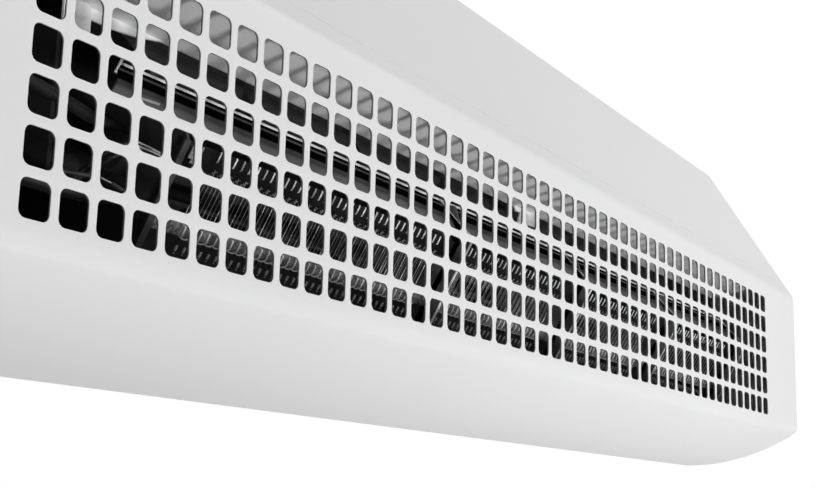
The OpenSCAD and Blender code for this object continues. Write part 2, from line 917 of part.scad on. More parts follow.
module outlet_vane() {
    p = [vane_y, vane_h];
    color("WhiteSmoke")
        union() {
            along(vane_x0, vane_x1)
                translate(p)
                    vane_section();
            bar(fan_x0 + pin_end, duct_x1 - pin_end, p, vane_pin_r);
        }
}

module vane_supports() {
    p = [vane_y, vane_h];
    color("Black")
        for (x = [fan_x0, duct_x1 - support_t])
            along(x, x + support_t)
                difference() {
                    translate(p)
                        circle(r = support_r);
                    translate(p)
                        circle(r = vane_pin_r + run_gap);
                }
}

// ---------------------------------------------------------------- screws

module trim_screws() {
    color("Silver")
        for (x = [fan_x0 + trim_screw_in, (fan_x0 + fan_x1) / 2, fan_x1 - trim_screw_in],
             y = [outlet_y0 - trim_w / 2, outlet_y1 + trim_w / 2])
            translate([x, front + y, floor_h - trim_t - trim_screw_h - wall_z])
                cylinder(r = trim_screw_r, h = trim_screw_h);
}

module cap_screws() {
    color("Silver")
        for (i = [-1, 1], z = cap_screw_z)
            translate([i * (half_l - cap_screw_in), front + body_d, z - wall_z])
                rotate([-90, 0, 0])
                    cylinder(r = cap_screw_r, h = cap_screw_h);
}

module inner_screws() {
    color("Silver")
        for (x = [fan_x0 + trim_screw_in, (fan_x0 + fan_x1) / 2, fan_x1 - trim_screw_in])
            translate([x, front + (outlet_y1 + panel_y1) / 2, floor_top + inner_t - wall_z])
                cylinder(r = trim_screw_r, h = 2 * trim_screw_h);
}

// ---------------------------------------------------------------- drawing

front_cover();
upper_casing();
bottom_panel();
end_cap_left();
end_cap_right();
wall_brackets();
fan_scroll();
tongue();
heater_hood();
fan_plate_left();
fan_plate_right();
heater_dividers();
insulating_strips();
heater_wires();
heater_terminals();
impeller();
drive_shaft();
stub_shaft();
bearing_holder();
bearing_bush();
motor_body();
motor_plate();
rubber_mounts();
control_box();
terminal_block();
limit_thermostat();
run_capacitor();
cable_gland();
outlet_trim();
outlet_vane();
vane_supports();
trim_screws();
cap_screws();
inner_screws();
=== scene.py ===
"""Looks of a wall-hung warm-air curtain: finishes, fine shapes, light and camera.

Shapes are drawn in the casing's own section, in millimetres: a depth behind the
front face and a height above the lowest line. `spot` turns them into metres.
"""

import json
import logging
import math
from dataclasses import dataclass, field
from enum import Enum
from typing import ClassVar, Iterable, Sequence

import bmesh
import bpy
from mathutils import Matrix, Vector

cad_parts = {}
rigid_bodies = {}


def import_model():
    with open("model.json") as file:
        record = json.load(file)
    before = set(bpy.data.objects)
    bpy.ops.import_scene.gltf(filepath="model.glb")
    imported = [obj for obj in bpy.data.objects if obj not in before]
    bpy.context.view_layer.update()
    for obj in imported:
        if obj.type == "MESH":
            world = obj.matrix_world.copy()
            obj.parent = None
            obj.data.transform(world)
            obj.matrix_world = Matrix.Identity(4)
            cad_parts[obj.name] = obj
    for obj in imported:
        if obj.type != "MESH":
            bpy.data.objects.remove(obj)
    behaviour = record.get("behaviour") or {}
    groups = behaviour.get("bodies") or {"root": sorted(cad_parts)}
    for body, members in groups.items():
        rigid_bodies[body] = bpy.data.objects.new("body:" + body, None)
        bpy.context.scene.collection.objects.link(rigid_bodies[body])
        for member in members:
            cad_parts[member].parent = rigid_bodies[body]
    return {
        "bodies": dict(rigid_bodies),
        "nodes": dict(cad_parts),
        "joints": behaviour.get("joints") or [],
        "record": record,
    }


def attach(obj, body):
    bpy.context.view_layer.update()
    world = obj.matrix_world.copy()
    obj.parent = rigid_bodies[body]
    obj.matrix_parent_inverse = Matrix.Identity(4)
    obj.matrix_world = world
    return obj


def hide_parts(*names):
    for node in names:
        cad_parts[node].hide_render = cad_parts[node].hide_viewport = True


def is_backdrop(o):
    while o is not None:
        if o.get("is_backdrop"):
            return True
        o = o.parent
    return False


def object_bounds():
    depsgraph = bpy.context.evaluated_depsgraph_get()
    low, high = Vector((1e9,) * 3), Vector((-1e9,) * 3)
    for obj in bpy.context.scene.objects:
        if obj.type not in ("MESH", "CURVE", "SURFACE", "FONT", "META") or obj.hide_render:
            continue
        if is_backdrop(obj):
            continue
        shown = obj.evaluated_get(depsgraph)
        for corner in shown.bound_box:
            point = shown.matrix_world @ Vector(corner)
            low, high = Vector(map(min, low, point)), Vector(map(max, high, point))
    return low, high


LOG = logging.getLogger("air_curtain")

Point = tuple[float, float]
Colour = tuple[float, float, float]
Run = Sequence[Sequence[float]]
Obj = bpy.types.Object
Socket = bpy.types.NodeSocket
Vert = bmesh.types.BMVert

MM = 0.001
FRONT, BASE = -228.0, -140.0
TOUCH = 2e-6
SHARP, BLUNT = math.radians(28), math.radians(60)
QUARTER = math.pi / 2

SHEET = 1.2
HALF = 466.0
END = HALF - SHEET - 0.15
FLOOR = 12.0
AXIS = (125.0, 122.0)
BAY = (-278.0, 385.5)
OUTLET = (105.0, 175.0)
GLAND = (-406, 166, 256)
BORE = 4.05


def spot(x: float, y: float, z: float) -> Vector:
    """Returns the place in metres of a point given along, deep and high in millimetres."""
    return Vector((x, FRONT + y, BASE + z)) * MM


def spots(*runs: Run) -> list[list[Vector]]:
    """Returns the places in metres of the points of some runs."""
    return [[spot(*point) for point in run] for run in runs]


def unit(angle: float) -> Point:
    """Returns the direction at an angle in degrees."""
    return math.cos(math.radians(angle)), math.sin(math.radians(angle))


def shifted(point: Point, direction: Point, distance: float) -> Point:
    """Returns a point moved along a direction."""
    return point[0] + direction[0] * distance, point[1] + direction[1] * distance


def linked(name: str, data: bpy.types.ID) -> Obj:
    """Adds an object to the scene.

    Args:
        name: Its name.
        data: What it shows.

    Returns:
        The new object.
    """
    made = bpy.data.objects.new(name, data)
    bpy.context.scene.collection.objects.link(made)
    return made


def smooth(made: Obj, angle: float = SHARP) -> None:
    """Shades an object smooth, with edges sharper than an angle kept."""
    made.data.shade_smooth()
    made.data.set_sharp_from_angle(angle=angle)


# ------------------------------------------------------------------ shader graph


class Graph:
    """The node tree of one material, world or shape."""

    def __init__(self, tree: bpy.types.NodeTree) -> None:
        """Takes a tree and empties it."""
        self.tree = tree
        tree.nodes.clear()

    def node(self, kind: str, settings: dict | None = None, values: dict | None = None) -> bpy.types.Node:
        """Adds one node.

        Args:
            kind: The node's type name.
            settings: Its properties, and "stops" for a ramp's positions and colours.
            values: Numbers, colours, sockets or Vals for its inputs, by name or index.

        Returns:
            The new node.
        """
        made = self.tree.nodes.new(kind)
        for key, value in (settings or {}).items():
            if key == "stops":
                ramp = made.color_ramp.elements
                while len(ramp) < len(value):
                    ramp.new(1.0)
                for element, (position, colour) in zip(ramp, value):
                    element.position, element.color = position, (*colour, 1.0)
            else:
                setattr(made, key, value)
        for key, value in (values or {}).items():
            socket = made.inputs[key]
            if isinstance(value, Val):
                self.tree.links.new(value.socket, socket)
            elif isinstance(value, Socket):
                self.tree.links.new(value, socket)
            elif socket.type == "RGBA" and len(value) == 3:
                socket.default_value = (*value, 1.0)
            else:
                socket.default_value = value
        return made

    def value(self, kind: str, output: str | int = 0, settings: dict | None = None,
              values: dict | None = None) -> "Val":
        """Adds one node and returns one of its outputs as a number."""
        return Val(self, self.node(kind, settings, values).outputs[output])


class Val:
    """A number in a graph, on which Python's operators add Math nodes."""

    def __init__(self, graph: Graph, socket: Socket) -> None:
        """Wraps an output socket of a graph."""
        self.graph, self.socket = graph, socket

    def _math(self, operation: str, first: "Val | float | str", second: "Val | float | str") -> "Val":
        """Adds a Math node and returns its result."""
        return self.graph.value("ShaderNodeMath", 0, {"operation": operation}, {0: first, 1: second})

    def __add__(self, other: "Val | float") -> "Val":
        """Returns self + other."""
        return self._math("ADD", self, other)

    def __radd__(self, other: float) -> "Val":
        """Returns other + self."""
        return self._math("ADD", other, self)

    def __sub__(self, other: "Val | float") -> "Val":
        """Returns self - other."""
        return self._math("SUBTRACT", self, other)

    def __rsub__(self, other: float) -> "Val":
        """Returns other - self."""
        return self._math("SUBTRACT", other, self)

    def __mul__(self, other: "Val | float") -> "Val":
        """Returns self * other."""
        return self._math("MULTIPLY", self, other)

    def __rmul__(self, other: float) -> "Val":
        """Returns other * self."""
        return self._math("MULTIPLY", other, self)

    def __truediv__(self, other: "Val | float | str") -> "Val":
        """Returns self / other."""
        return self._math("DIVIDE", self, other)

    def __rtruediv__(self, other: float) -> "Val":
        """Returns other / self."""
        return self._math("DIVIDE", other, self)

    def held(self, low: float = 0.0, high: float = 1.0) -> "Val":
        """Returns self kept between two numbers."""
        return self.graph.value("ShaderNodeClamp", 0, None, {0: self, 1: low, 2: high})


class Mixer(Enum):
    """Sockets of a Mix node set to colours."""

    FIRST = 6
    SECOND = 7
    RESULT = 2


def blended(graph: Graph, share: Val | Socket, first: Colour, second: Colour) -> Socket:
    """Mixes two colours.

    Args:
        graph: The graph to add to.
        share: How much of the second colour shows.
        first: The colour at 0.
        second: The colour at 1.

    Returns:
        The mixed colour.
    """
    values = {0: share, Mixer.FIRST.value: first, Mixer.SECOND.value: second}
    return graph.node("ShaderNodeMix", {"data_type": "RGBA"}, values).outputs[Mixer.RESULT.value]


def noise(graph: Graph, place: Socket, scale: float, detail: float = 2.0) -> Val:
    """Returns a noise of a scale per metre."""
    return graph.value("ShaderNodeTexNoise", 0, None, {"Vector": place, "Scale": scale, "Detail": detail})


# ------------------------------------------------------------------ finishes


class Pattern(Enum):
    """How the surface of a finish varies."""

    COAT = "powder coat with a fine orange peel"
    SPANGLE = "zinc crystals of a galvanised sheet"
    BRUSHED = "fine lines along the part"
    FLECK = "pressed flakes"
    MOULDED = "fine mould grain"
    DRAWN = "drawn wire, tinted in places by heat"
    # The guide pattern paints three bands of reflection onto the sheet by height.
    GUIDE = "lines along the part, with three bands of mirrored light"
    # The punched pattern paints shade on the walls of the grille's holes.
    PUNCHED = "powder coat, thin on the walls of the punched holes"


# Reflections painted on the hood's sheet as colour and metal, by height: from, to, width of the soft edges, share.
PAINTED_GLINTS = ((90.0, 101.0, 3.5, 0.35), (98.0, 103.8, 0.8, 0.1), (107.9, 109.9, 1.0, 0.2))
# Painted shade on the holes' walls: the depths and heights where it lies, and how steeply it fades in.
WALL_DEPTHS = (0.15, 1.12)
WALL_HEIGHTS = (34.0, 130.0)
WALL_STEP = 20.0


@dataclass(frozen=True)
class Finish:
    """One surface finish."""

    name: str
    pattern: Pattern
    light: Colour
    dark: Colour
    roughness: float
    spread: float = 0.06
    metallic: float = 0.0
    relief: float = 0.05
    coat: float = 0.0
    gloss: float = 0.5

    def material(self) -> bpy.types.Material:
        """Returns the finish as a material, made once."""
        material = bpy.data.materials.get(self.name)
        if material:
            return material
        material = bpy.data.materials.new(self.name)
        material.use_nodes = True
        graph = Graph(material.node_tree)
        mask, height = self._variation(graph, graph.node("ShaderNodeTexCoord").outputs["Object"])
        bump = graph.node("ShaderNodeBump", None, {"Strength": self.relief, "Distance": 0.0005, "Height": height})
        surface = graph.node("ShaderNodeBsdfPrincipled", None, {
            "Base Color": blended(graph, mask, self.dark, self.light),
            "Roughness": (self.roughness + (mask - 0.5) * self.spread).held(),
            # On the guide pattern the painted reflection also sets how metallic the sheet is.
            "Metallic": mask if self.pattern is Pattern.GUIDE else self.metallic,
            "Coat Weight": self.coat,
            "Coat Roughness": 0.12,
            "Specular IOR Level": self.gloss,
            "Normal": bump.outputs["Normal"],
        })
        graph.node("ShaderNodeOutputMaterial", None, {"Surface": surface.outputs[0]})
        return material

    def _variation(self, graph: Graph, place: Socket) -> tuple[Val, Val]:
        """Adds the pattern.

        Args:
            graph: The graph to add to.
            place: The coordinates of the surface.

        Returns:
            A mask between the dark and the light colour, and a height.
        """
        if self.pattern is Pattern.SPANGLE:
            tone, cloud = self._crystals(graph, place, 210.0), noise(graph, place, 14.0, 3.0)
            scratch = self._lines(graph, place, 25.0, 700.0)
            return (tone * 0.35 + cloud * 0.5 + scratch * 0.25 - 0.05).held(), tone * 0.5 + scratch
        if self.pattern is Pattern.BRUSHED:
            lines, cloud = self._lines(graph, place, 12.0, 900.0), noise(graph, place, 20.0)
            return (lines * 0.7 + cloud * 0.4 - 0.05).held(), lines
        if self.pattern is Pattern.FLECK:
            tone, cloud = self._crystals(graph, place, 800.0), noise(graph, place, 160.0, 3.0)
            return (tone * 0.7 + cloud * 0.9 - 0.35).held(), tone + cloud
        if self.pattern is Pattern.GUIDE:
            # Brushed lines, times three bands of painted reflection by height.
            lines, cloud = self._lines(graph, place, 9.0, 1300.0), noise(graph, place, 30.0, 3.0)
            up = self._measure(graph, place, 2)
            wide, dim, thin = (((up - low) * (1 / edge)).held() * ((high - up) * (1 / edge)).held() * share
                               for low, high, edge, share in PAINTED_GLINTS)
            return ((wide + dim + thin) * (0.5 + lines * 0.5 + cloud * 0.5)).held(), lines
        if self.pattern is Pattern.PUNCHED:
            # The holes' walls take the dark colour as painted shade.
            inside = [((self._measure(graph, place, axis) - low) * WALL_STEP).held()
                      * ((high - self._measure(graph, place, axis)) * WALL_STEP).held()
                      for axis, (low, high) in ((1, WALL_DEPTHS), (2, WALL_HEIGHTS))]
            cloud = noise(graph, place, 7.0, 3.0) * 0.06 + 0.94
            return (cloud * (1.0 - inside[0] * inside[1])).held(), noise(graph, place, 520.0)
        if self.pattern is Pattern.DRAWN:
            return noise(graph, place, 45.0), noise(graph, place, 900.0)
        fine = noise(graph, place, 520.0 if self.pattern is Pattern.COAT else 1500.0)
        return (noise(graph, place, 7.0, 3.0) * 0.8 + fine * 0.2).held(), fine

    @staticmethod
    def _measure(graph: Graph, place: Socket, axis: int) -> Val:
        """Returns the depth (axis 1) or the height (axis 2) in the section's millimetres."""
        return graph.value("ShaderNodeSeparateXYZ", axis, None, {0: place}) * (1 / MM) - (0.0, FRONT, BASE)[axis]

    @staticmethod
    def _crystals(graph: Graph, place: Socket, scale: float) -> Val:
        """Returns a tone for each of many small cells."""
        cells = graph.node("ShaderNodeTexVoronoi", None, {"Vector": place, "Scale": scale})
        return graph.value("ShaderNodeSeparateColor", 0, None, {0: cells.outputs["Color"]})

    @staticmethod
    def _lines(graph: Graph, place: Socket, along: float, across: float) -> Val:
        """Returns a noise drawn out into lines along the unit."""
        mapped = graph.node("ShaderNodeMapping", None, {"Vector": place, "Scale": (along, across, across)})
        return noise(graph, mapped.outputs[0], 1.0, 3.0)


WHITE = Finish("white_coat", Pattern.COAT, (0.77, 0.77, 0.775), (0.73, 0.73, 0.735), 0.42, 0.08, relief=0.04)
PALE = Finish("pale_sheet", Pattern.COAT, (0.96, 0.96, 0.965), (0.93, 0.93, 0.935), 0.4, 0.08, relief=0.04)
# The grille's white coat, with painted shade on its holes' walls.
GRILLE = Finish("grille_coat", Pattern.PUNCHED, (0.77, 0.77, 0.775), (0.12, 0.12, 0.122), 0.42, 0.08, relief=0.04)
# Near-white edges standing in for the highlights on galvanised bends and cut edges: painted highlights.
HIGHLIT_EDGE = Finish("edge_painted_highlight", Pattern.BRUSHED, (0.95, 0.95, 0.95), (0.85, 0.85, 0.85), 0.35, 0.1, relief=0.04)
# Heater wire darkened by its oxide and by painted shade.
OXIDE_AND_SHADE = Finish("wire_oxide_and_painted_shade", Pattern.DRAWN, (0.03, 0.03, 0.03), (0.015, 0.015, 0.015), 0.6, 0.1)
ZINC = Finish("zinc_sheet", Pattern.SPANGLE, (0.68, 0.685, 0.69), (0.38, 0.385, 0.39), 0.26, 0.12, 1.0)
DARK = Finish("dark_coat", Pattern.COAT, (0.045, 0.045, 0.047), (0.03, 0.03, 0.032), 0.45, 0.1)
# The hood's finish: near black, lit up only by its painted reflections.
GUIDE = Finish("guide_painted_reflection", Pattern.GUIDE, (0.95, 0.95, 0.95), (0.003, 0.003, 0.003), 0.25, 0.1,
               relief=0.04, gloss=0.0)
GREY = Finish("grey_flange", Pattern.COAT, (0.065, 0.065, 0.067), (0.05, 0.05, 0.052), 0.45, 0.1)
# The scroll, the same light sheet as the ceiling, coloured near black as painted shade.
SHADED_SCROLL = Finish("scroll_painted_shade", Pattern.COAT, (0.035, 0.035, 0.036), (0.022, 0.022, 0.023), 0.5, 0.1)
PARTING = Finish("divider_coat", Pattern.COAT, (0.11, 0.11, 0.112), (0.08, 0.08, 0.082), 0.5, 0.1)
MICA = Finish("mica_board", Pattern.FLECK, (0.36, 0.355, 0.34), (0.03, 0.029, 0.028), 0.6, 0.2, relief=0.2)
# The upper board: a copy of the mica board, coloured near black as painted shade.
SHADED_BOARD = Finish("board_painted_shade", Pattern.FLECK, (0.016, 0.016, 0.015), (0.004, 0.004, 0.004), 0.7, 0.2,
               relief=0.2, gloss=0.15)
BRASS = Finish("brass_part", Pattern.BRUSHED, (0.78, 0.62, 0.33), (0.6, 0.45, 0.22), 0.3, 0.1, 1.0)
THIN = Finish("thin_wire", Pattern.DRAWN, (0.62, 0.62, 0.62), (0.12, 0.12, 0.12), 0.4, 0.1, 0.5, 0.02)
# Heater wire and bare leads coloured near white as a painted highlight.
HIGHLIT_WIRE = Finish("wire_painted_highlight", Pattern.DRAWN, (0.97, 0.97, 0.97), (0.88, 0.88, 0.88), 0.3, 0.1, 0.2, 0.02)
WHEEL = Finish("grey_wheel", Pattern.BRUSHED, (0.08, 0.08, 0.082), (0.035, 0.035, 0.036), 0.5, 0.15, 0.2, 0.1)
STEEL = Finish("bright_steel", Pattern.BRUSHED, (0.72, 0.72, 0.73), (0.5, 0.5, 0.51), 0.28, 0.12, 1.0)
RUBBER = Finish("black_rubber", Pattern.MOULDED, (0.03, 0.03, 0.03), (0.015, 0.015, 0.015), 0.75, 0.1, relief=0.2)
MOTOR = Finish("motor_coat", Pattern.COAT, (0.1, 0.105, 0.11), (0.07, 0.072, 0.075), 0.5, 0.1, relief=0.15)
BLOCK = Finish("block_moulding", Pattern.MOULDED, (0.72, 0.7, 0.64), (0.66, 0.64, 0.58), 0.5, relief=0.1)
BLACK = Finish("black_moulding", Pattern.MOULDED, (0.035, 0.035, 0.036), (0.02, 0.02, 0.02), 0.42, 0.1, relief=0.15)
CAN = Finish("capacitor_can", Pattern.MOULDED, (0.62, 0.62, 0.62), (0.55, 0.55, 0.55), 0.3, coat=0.2)


# ------------------------------------------------------------------ folded sheets


@dataclass
class Fold:
    """A sheet in section: points of its outer face, each with the normal's angle."""

    stations: list[tuple[Point, float]] = field(default_factory=list)

    def straight(self, point: Point, angle: float) -> "Fold":
        """Adds a point of a straight part."""
        self.stations.append((point, angle))
        return self

    def spiral(self, centre: Point, radii: Point, start: float, end: float, steps: int) -> "Fold":
        """Adds an arc whose radius changes evenly.

        Args:
            centre: Its centre.
            radii: The radius where it starts and where it ends.
            start: The angle at which it starts, in degrees.
            end: The angle at which it ends.
            steps: Number of its straight pieces.

        Returns:
            The fold itself.
        """
        for i in range(steps + 1):
            angle = start + (end - start) * i / steps
            radius = radii[0] + (radii[1] - radii[0]) * i / steps
            self.straight(shifted(centre, unit(angle), radius), angle)
        return self

    def bend(self, centre: Point, radius: float, start: float, end: float, steps: int = 10) -> "Fold":
        """Adds an arc that bulges outwards."""
        return self.spiral(centre, (radius, radius), start, end, steps)

    def hollow(self, centre: Point, radius: float, start: float, end: float, steps: int = 8) -> "Fold":
        """Adds an arc that curves inwards."""
        return self.spiral(centre, (-radius, -radius), start, end, steps)

    def held(self, hold: float = 0.7) -> "Fold":
        """Adds points beside the bends, so that flats shade flat.

        Args:
            hold: Their distance from the bends.

        Returns:
            A new fold.
        """
        result = Fold([self.stations[0]])
        for (p, a), (q, b) in zip(self.stations, self.stations[1:]):
            length = math.dist(p, q)
            if length > 6 * hold and abs(a - b) < 0.01:
                way = ((q[0] - p[0]) / length, (q[1] - p[1]) / length)
                result.straight(shifted(p, way, hold), a).straight(shifted(q, way, -hold), a)
            result.straight(q, b)
        return result

    def outline(self, depth: float = 0.0) -> list[Point]:
        """Returns the points at a depth below the outer face."""
        return [shifted(p, unit(a), -depth) for p, a in self.stations]


class Shape:
    """A mesh in the making, in the millimetres of the section."""

    def __init__(self) -> None:
        """Starts empty."""
        self.bm = bmesh.new()

    def verts(self, places: Iterable[Vector]) -> list[Vert]:
        """Returns new vertices at places in metres."""
        return [self.bm.verts.new(place) for place in places]

    def bridge(self, a: Sequence[Vert], b: Sequence[Vert], closed: bool = False) -> None:
        """Joins two rows of vertices with quads.

        Args:
            a: The first row.
            b: The second row.
            closed: Whether the last vertices are joined to the first ones too.
        """
        count = len(a)
        for i in range(count if closed else count - 1):
            j = (i + 1) % count
            self.bm.faces.new((a[i], a[j], b[j], b[i]))

    def sheet(self, fold: Fold, thickness: float, xs: Sequence[float],
              open_start: bool = False, open_end: bool = False) -> "Shape":
        """Adds a folded sheet.

        Args:
            fold: Its section.
            thickness: Thickness of the sheet.
            xs: Places along the unit that get a row of vertices.
            open_start: Whether the first edge is left open, to be merged.
            open_end: Whether the last edge is left open, to be merged.

        Returns:
            The shape itself.
        """
        outer, inner = ([self.verts(spot(x, y, z) for y, z in fold.outline(depth)) for x in xs]
                        for depth in (0.0, thickness))
        for i in range(len(xs) - 1):
            self.bridge(outer[i], outer[i + 1])
            self.bridge(inner[i + 1], inner[i])
            if not open_start:
                self.bm.faces.new((outer[i][0], outer[i + 1][0], inner[i + 1][0], inner[i][0]))
            if not open_end:
                self.bm.faces.new((outer[i + 1][-1], outer[i][-1], inner[i][-1], inner[i + 1][-1]))
        self.bridge(inner[0], outer[0])
        self.bridge(outer[-1], inner[-1])
        return self

    def solid(self, *rows: Iterable[Vector], circuit: bool = False) -> "Shape":
        """Adds a solid through equal rings of points.

        Args:
            rows: The rings, in metres.
            circuit: Whether the last ring is joined to the first one, instead of closing both.

        Returns:
            The shape itself.
        """
        rings = [self.verts(row) for row in rows]
        for a, b in zip(rings, rings[1:] + rings[:circuit]):
            self.bridge(a, b, closed=True)
        if not circuit:
            self.bm.faces.new(rings[0])
            self.bm.faces.new(reversed(rings[-1]))
        return self

    def prism(self, *rings: tuple[float, Sequence[Point]]) -> "Shape":
        """Adds a solid through equal outlines at places along the unit."""
        return self.solid(*([spot(x, y, z) for y, z in outline] for x, outline in rings))

    def spun(self, origin: Vector, axis: int, profile: Sequence[Point], sides: int) -> "Shape":
        """Adds a round solid.

        Args:
            origin: A point of its axis, in metres.
            axis: 0, 1 or 2 for an axis along X, Y or Z.
            profile: Closed outline: pairs of a place along the axis and a radius.
            sides: Number of facets.

        Returns:
            The shape itself.
        """
        across, beyond = (axis + 1) % 3, (axis + 2) % 3
        rings = []
        for c, w in (unit(360 * i / sides) for i in range(sides)):
            ring = []
            for along, radius in profile:
                place = origin.copy()
                place[axis] += along * MM
                place[across] += radius * c * MM
                place[beyond] += radius * w * MM
                ring.append(place)
            rings.append(ring)
        return self.solid(*rings, circuit=True)

    def pin(self, origin: Vector, axis: int, ends: Point, half: Sequence[Point], sides: int) -> "Shape":
        """Adds a round solid whose two ends are alike.

        Args:
            origin: A point of its axis, in metres.
            axis: 0, 1 or 2 for an axis along X, Y or Z.
            ends: Where it starts and where it ends along the axis.
            half: Profile of an end: pairs of a distance from that end and a radius.
            sides: Number of facets.

        Returns:
            The shape itself.
        """
        low, high = ends
        profile = [(low + along, radius) for along, radius in half]
        return self.spun(origin, axis, profile + [(high - along, radius) for along, radius in reversed(half)], sides)

    def block(self, low: Sequence[float], high: Sequence[float], rounding: float = 0.0) -> "Shape":
        """Adds a box.

        Args:
            low: Its lowest corner.
            high: Its highest corner.
            rounding: Width of its edges' rounding.

        Returns:
            The shape itself.
        """
        made = bmesh.ops.create_cube(self.bm, size=1.0)["verts"]
        a, b = spot(*low), spot(*high)
        for vert in made:
            vert.co = Vector((a[k] + (b[k] - a[k]) * (vert.co[k] + 0.5) for k in range(3)))
        if rounding:
            edges = list({edge for vert in made for edge in vert.link_edges})
            bmesh.ops.bevel(self.bm, geom=edges, offset=rounding * MM, segments=2, affect="EDGES", profile=0.5)
        return self

    def take(self, *parts: Obj) -> "Shape":
        """Adds the meshes of objects and drops the objects.

        Args:
            parts: The objects.

        Returns:
            The shape itself.
        """
        for part in parts:
            self.bm.from_mesh(part.data)
            bpy.data.objects.remove(part)
        return self

    def poured(self, name: str, material: bpy.types.Material, angle: float = SHARP) -> Obj:
        """Ends the shape as it stands.

        Args:
            name: The object's name.
            material: Its material.
            angle: Edges sharper than this stay sharp.

        Returns:
            The shape as an object.
        """
        mesh = bpy.data.meshes.new(name)
        self.bm.to_mesh(mesh)
        self.bm.free()
        mesh.materials.append(material)
        made = linked(name, mesh)
        smooth(made, angle)
        return made

    def object(self, name: str, finish: Finish, merge: bool = True) -> Obj:
        """Closes the shape, turns its faces outwards and ends it.

        Args:
            name: The object's name.
            finish: Its finish.
            merge: Whether vertices that touch become one.

        Returns:
            The shape as an object.
        """
        if merge:
            bmesh.ops.remove_doubles(self.bm, verts=self.bm.verts, dist=TOUCH)
        bmesh.ops.recalc_face_normals(self.bm, faces=self.bm.faces)
        return self.poured(name, finish.material())


# ------------------------------------------------------------------ geometry trees


class Tree(Graph):
    """A Geometry Nodes tree with named inputs."""

    KINDS = {int: "NodeSocketInt", float: "NodeSocketFloat", tuple: "NodeSocketVector"}

    def __init__(self, name: str, piece: bool = True, **inputs: int | float | tuple) -> None:
        """Starts the tree.

        Args:
            name: Its name.
            piece: Whether it copies a piece.
            inputs: The defaults of its other named inputs.
        """
        super().__init__(bpy.data.node_groups.new(name, "GeometryNodeTree"))
        sides = self.tree.interface
        sides.new_socket("Geometry", in_out="INPUT", socket_type="NodeSocketGeometry")
        sides.new_socket("Geometry", in_out="OUTPUT", socket_type="NodeSocketGeometry")
        kinds = {"Material": "NodeSocketMaterial", **({"Piece": "NodeSocketObject"} if piece else {}),
                 **{label: self.KINDS[type(default)] for label, default in inputs.items()}}
        self.sockets: dict[str, str] = {}
        for label, kind in kinds.items():
            item = sides.new_socket(label, in_out="INPUT", socket_type=kind)
            if label in inputs:
                item.default_value = inputs[label]
            self.sockets[label] = item.identifier
        self.source = self.tree.nodes.new("NodeGroupInput")
        self.target = self.tree.nodes.new("NodeGroupOutput")

    def node(self, kind: str, settings: dict | None = None, values: dict | None = None) -> bpy.types.Node:
        """Adds one node.

        Args:
            kind: The node's type name.
            settings: Its properties.
            values: Values for its inputs, where text names one of the tree's own inputs.

        Returns:
            The new node.
        """
        named = {key: self.source.outputs[value] if isinstance(value, str) else value
                 for key, value in (values or {}).items()}
        return super().node(kind, settings, named)

    def chain(self, kind: str, settings: dict | None = None, **values: object) -> Socket:
        """Adds a node and returns its first output."""
        return self.node(kind, settings, {key.replace("_", " "): value for key, value in values.items()}).outputs[0]

    def copies(self, points: Socket | str, **turn: Socket) -> Socket:
        """Puts the tree's piece on points.

        Args:
            points: The points.
            turn: Their Rotation, if they turn.

        Returns:
            The copies as instances.
        """
        piece = self.node("GeometryNodeObjectInfo", None, {"Object": "Piece"}).outputs["Geometry"]
        return self.chain("GeometryNodeInstanceOnPoints", Points=points, Instance=piece, **turn)

    def close(self, instances: Socket, merge: bool = False) -> "Tree":
        """Ends the tree: instances made real, merged if wanted, and given the material.

        Args:
            instances: What the tree has made.
            merge: Whether vertices that touch become one.

        Returns:
            The tree itself.
        """
        last = self.chain("GeometryNodeRealizeInstances", Geometry=instances)
        if merge:
            last = self.chain("GeometryNodeMergeByDistance", Geometry=last, Distance=TOUCH)
        last = self.chain("GeometryNodeSetMaterial", Geometry=last, Material="Material")
        self.tree.links.new(last, self.target.inputs[0])
        return self

    def grown(self, name: str, data: bpy.types.ID, values: dict[str, object], angle: float) -> Obj:
        """Runs the tree on some data and returns the result as a plain mesh.

        Args:
            name: The object's name.
            data: The mesh or curve to run on.
            values: The tree's inputs by name. A piece among them is dropped.
            angle: Edges sharper than this stay sharp.

        Returns:
            The result as one object.
        """
        base = linked(name, data)
        modifier = base.modifiers.new("grow", "NODES")
        modifier.node_group = self.tree
        for label, value in values.items():
            modifier[self.sockets[label]] = value
        bpy.context.view_layer.update()
        graph = bpy.context.evaluated_depsgraph_get()
        mesh = bpy.data.meshes.new_from_object(base.evaluated_get(graph))
        base.modifiers.remove(modifier)
        bpy.data.objects.remove(base)
        if "Piece" in values:
            bpy.data.objects.remove(values["Piece"])
        mesh.name = name
        made = linked(name, mesh)
        smooth(made, angle)
        return made


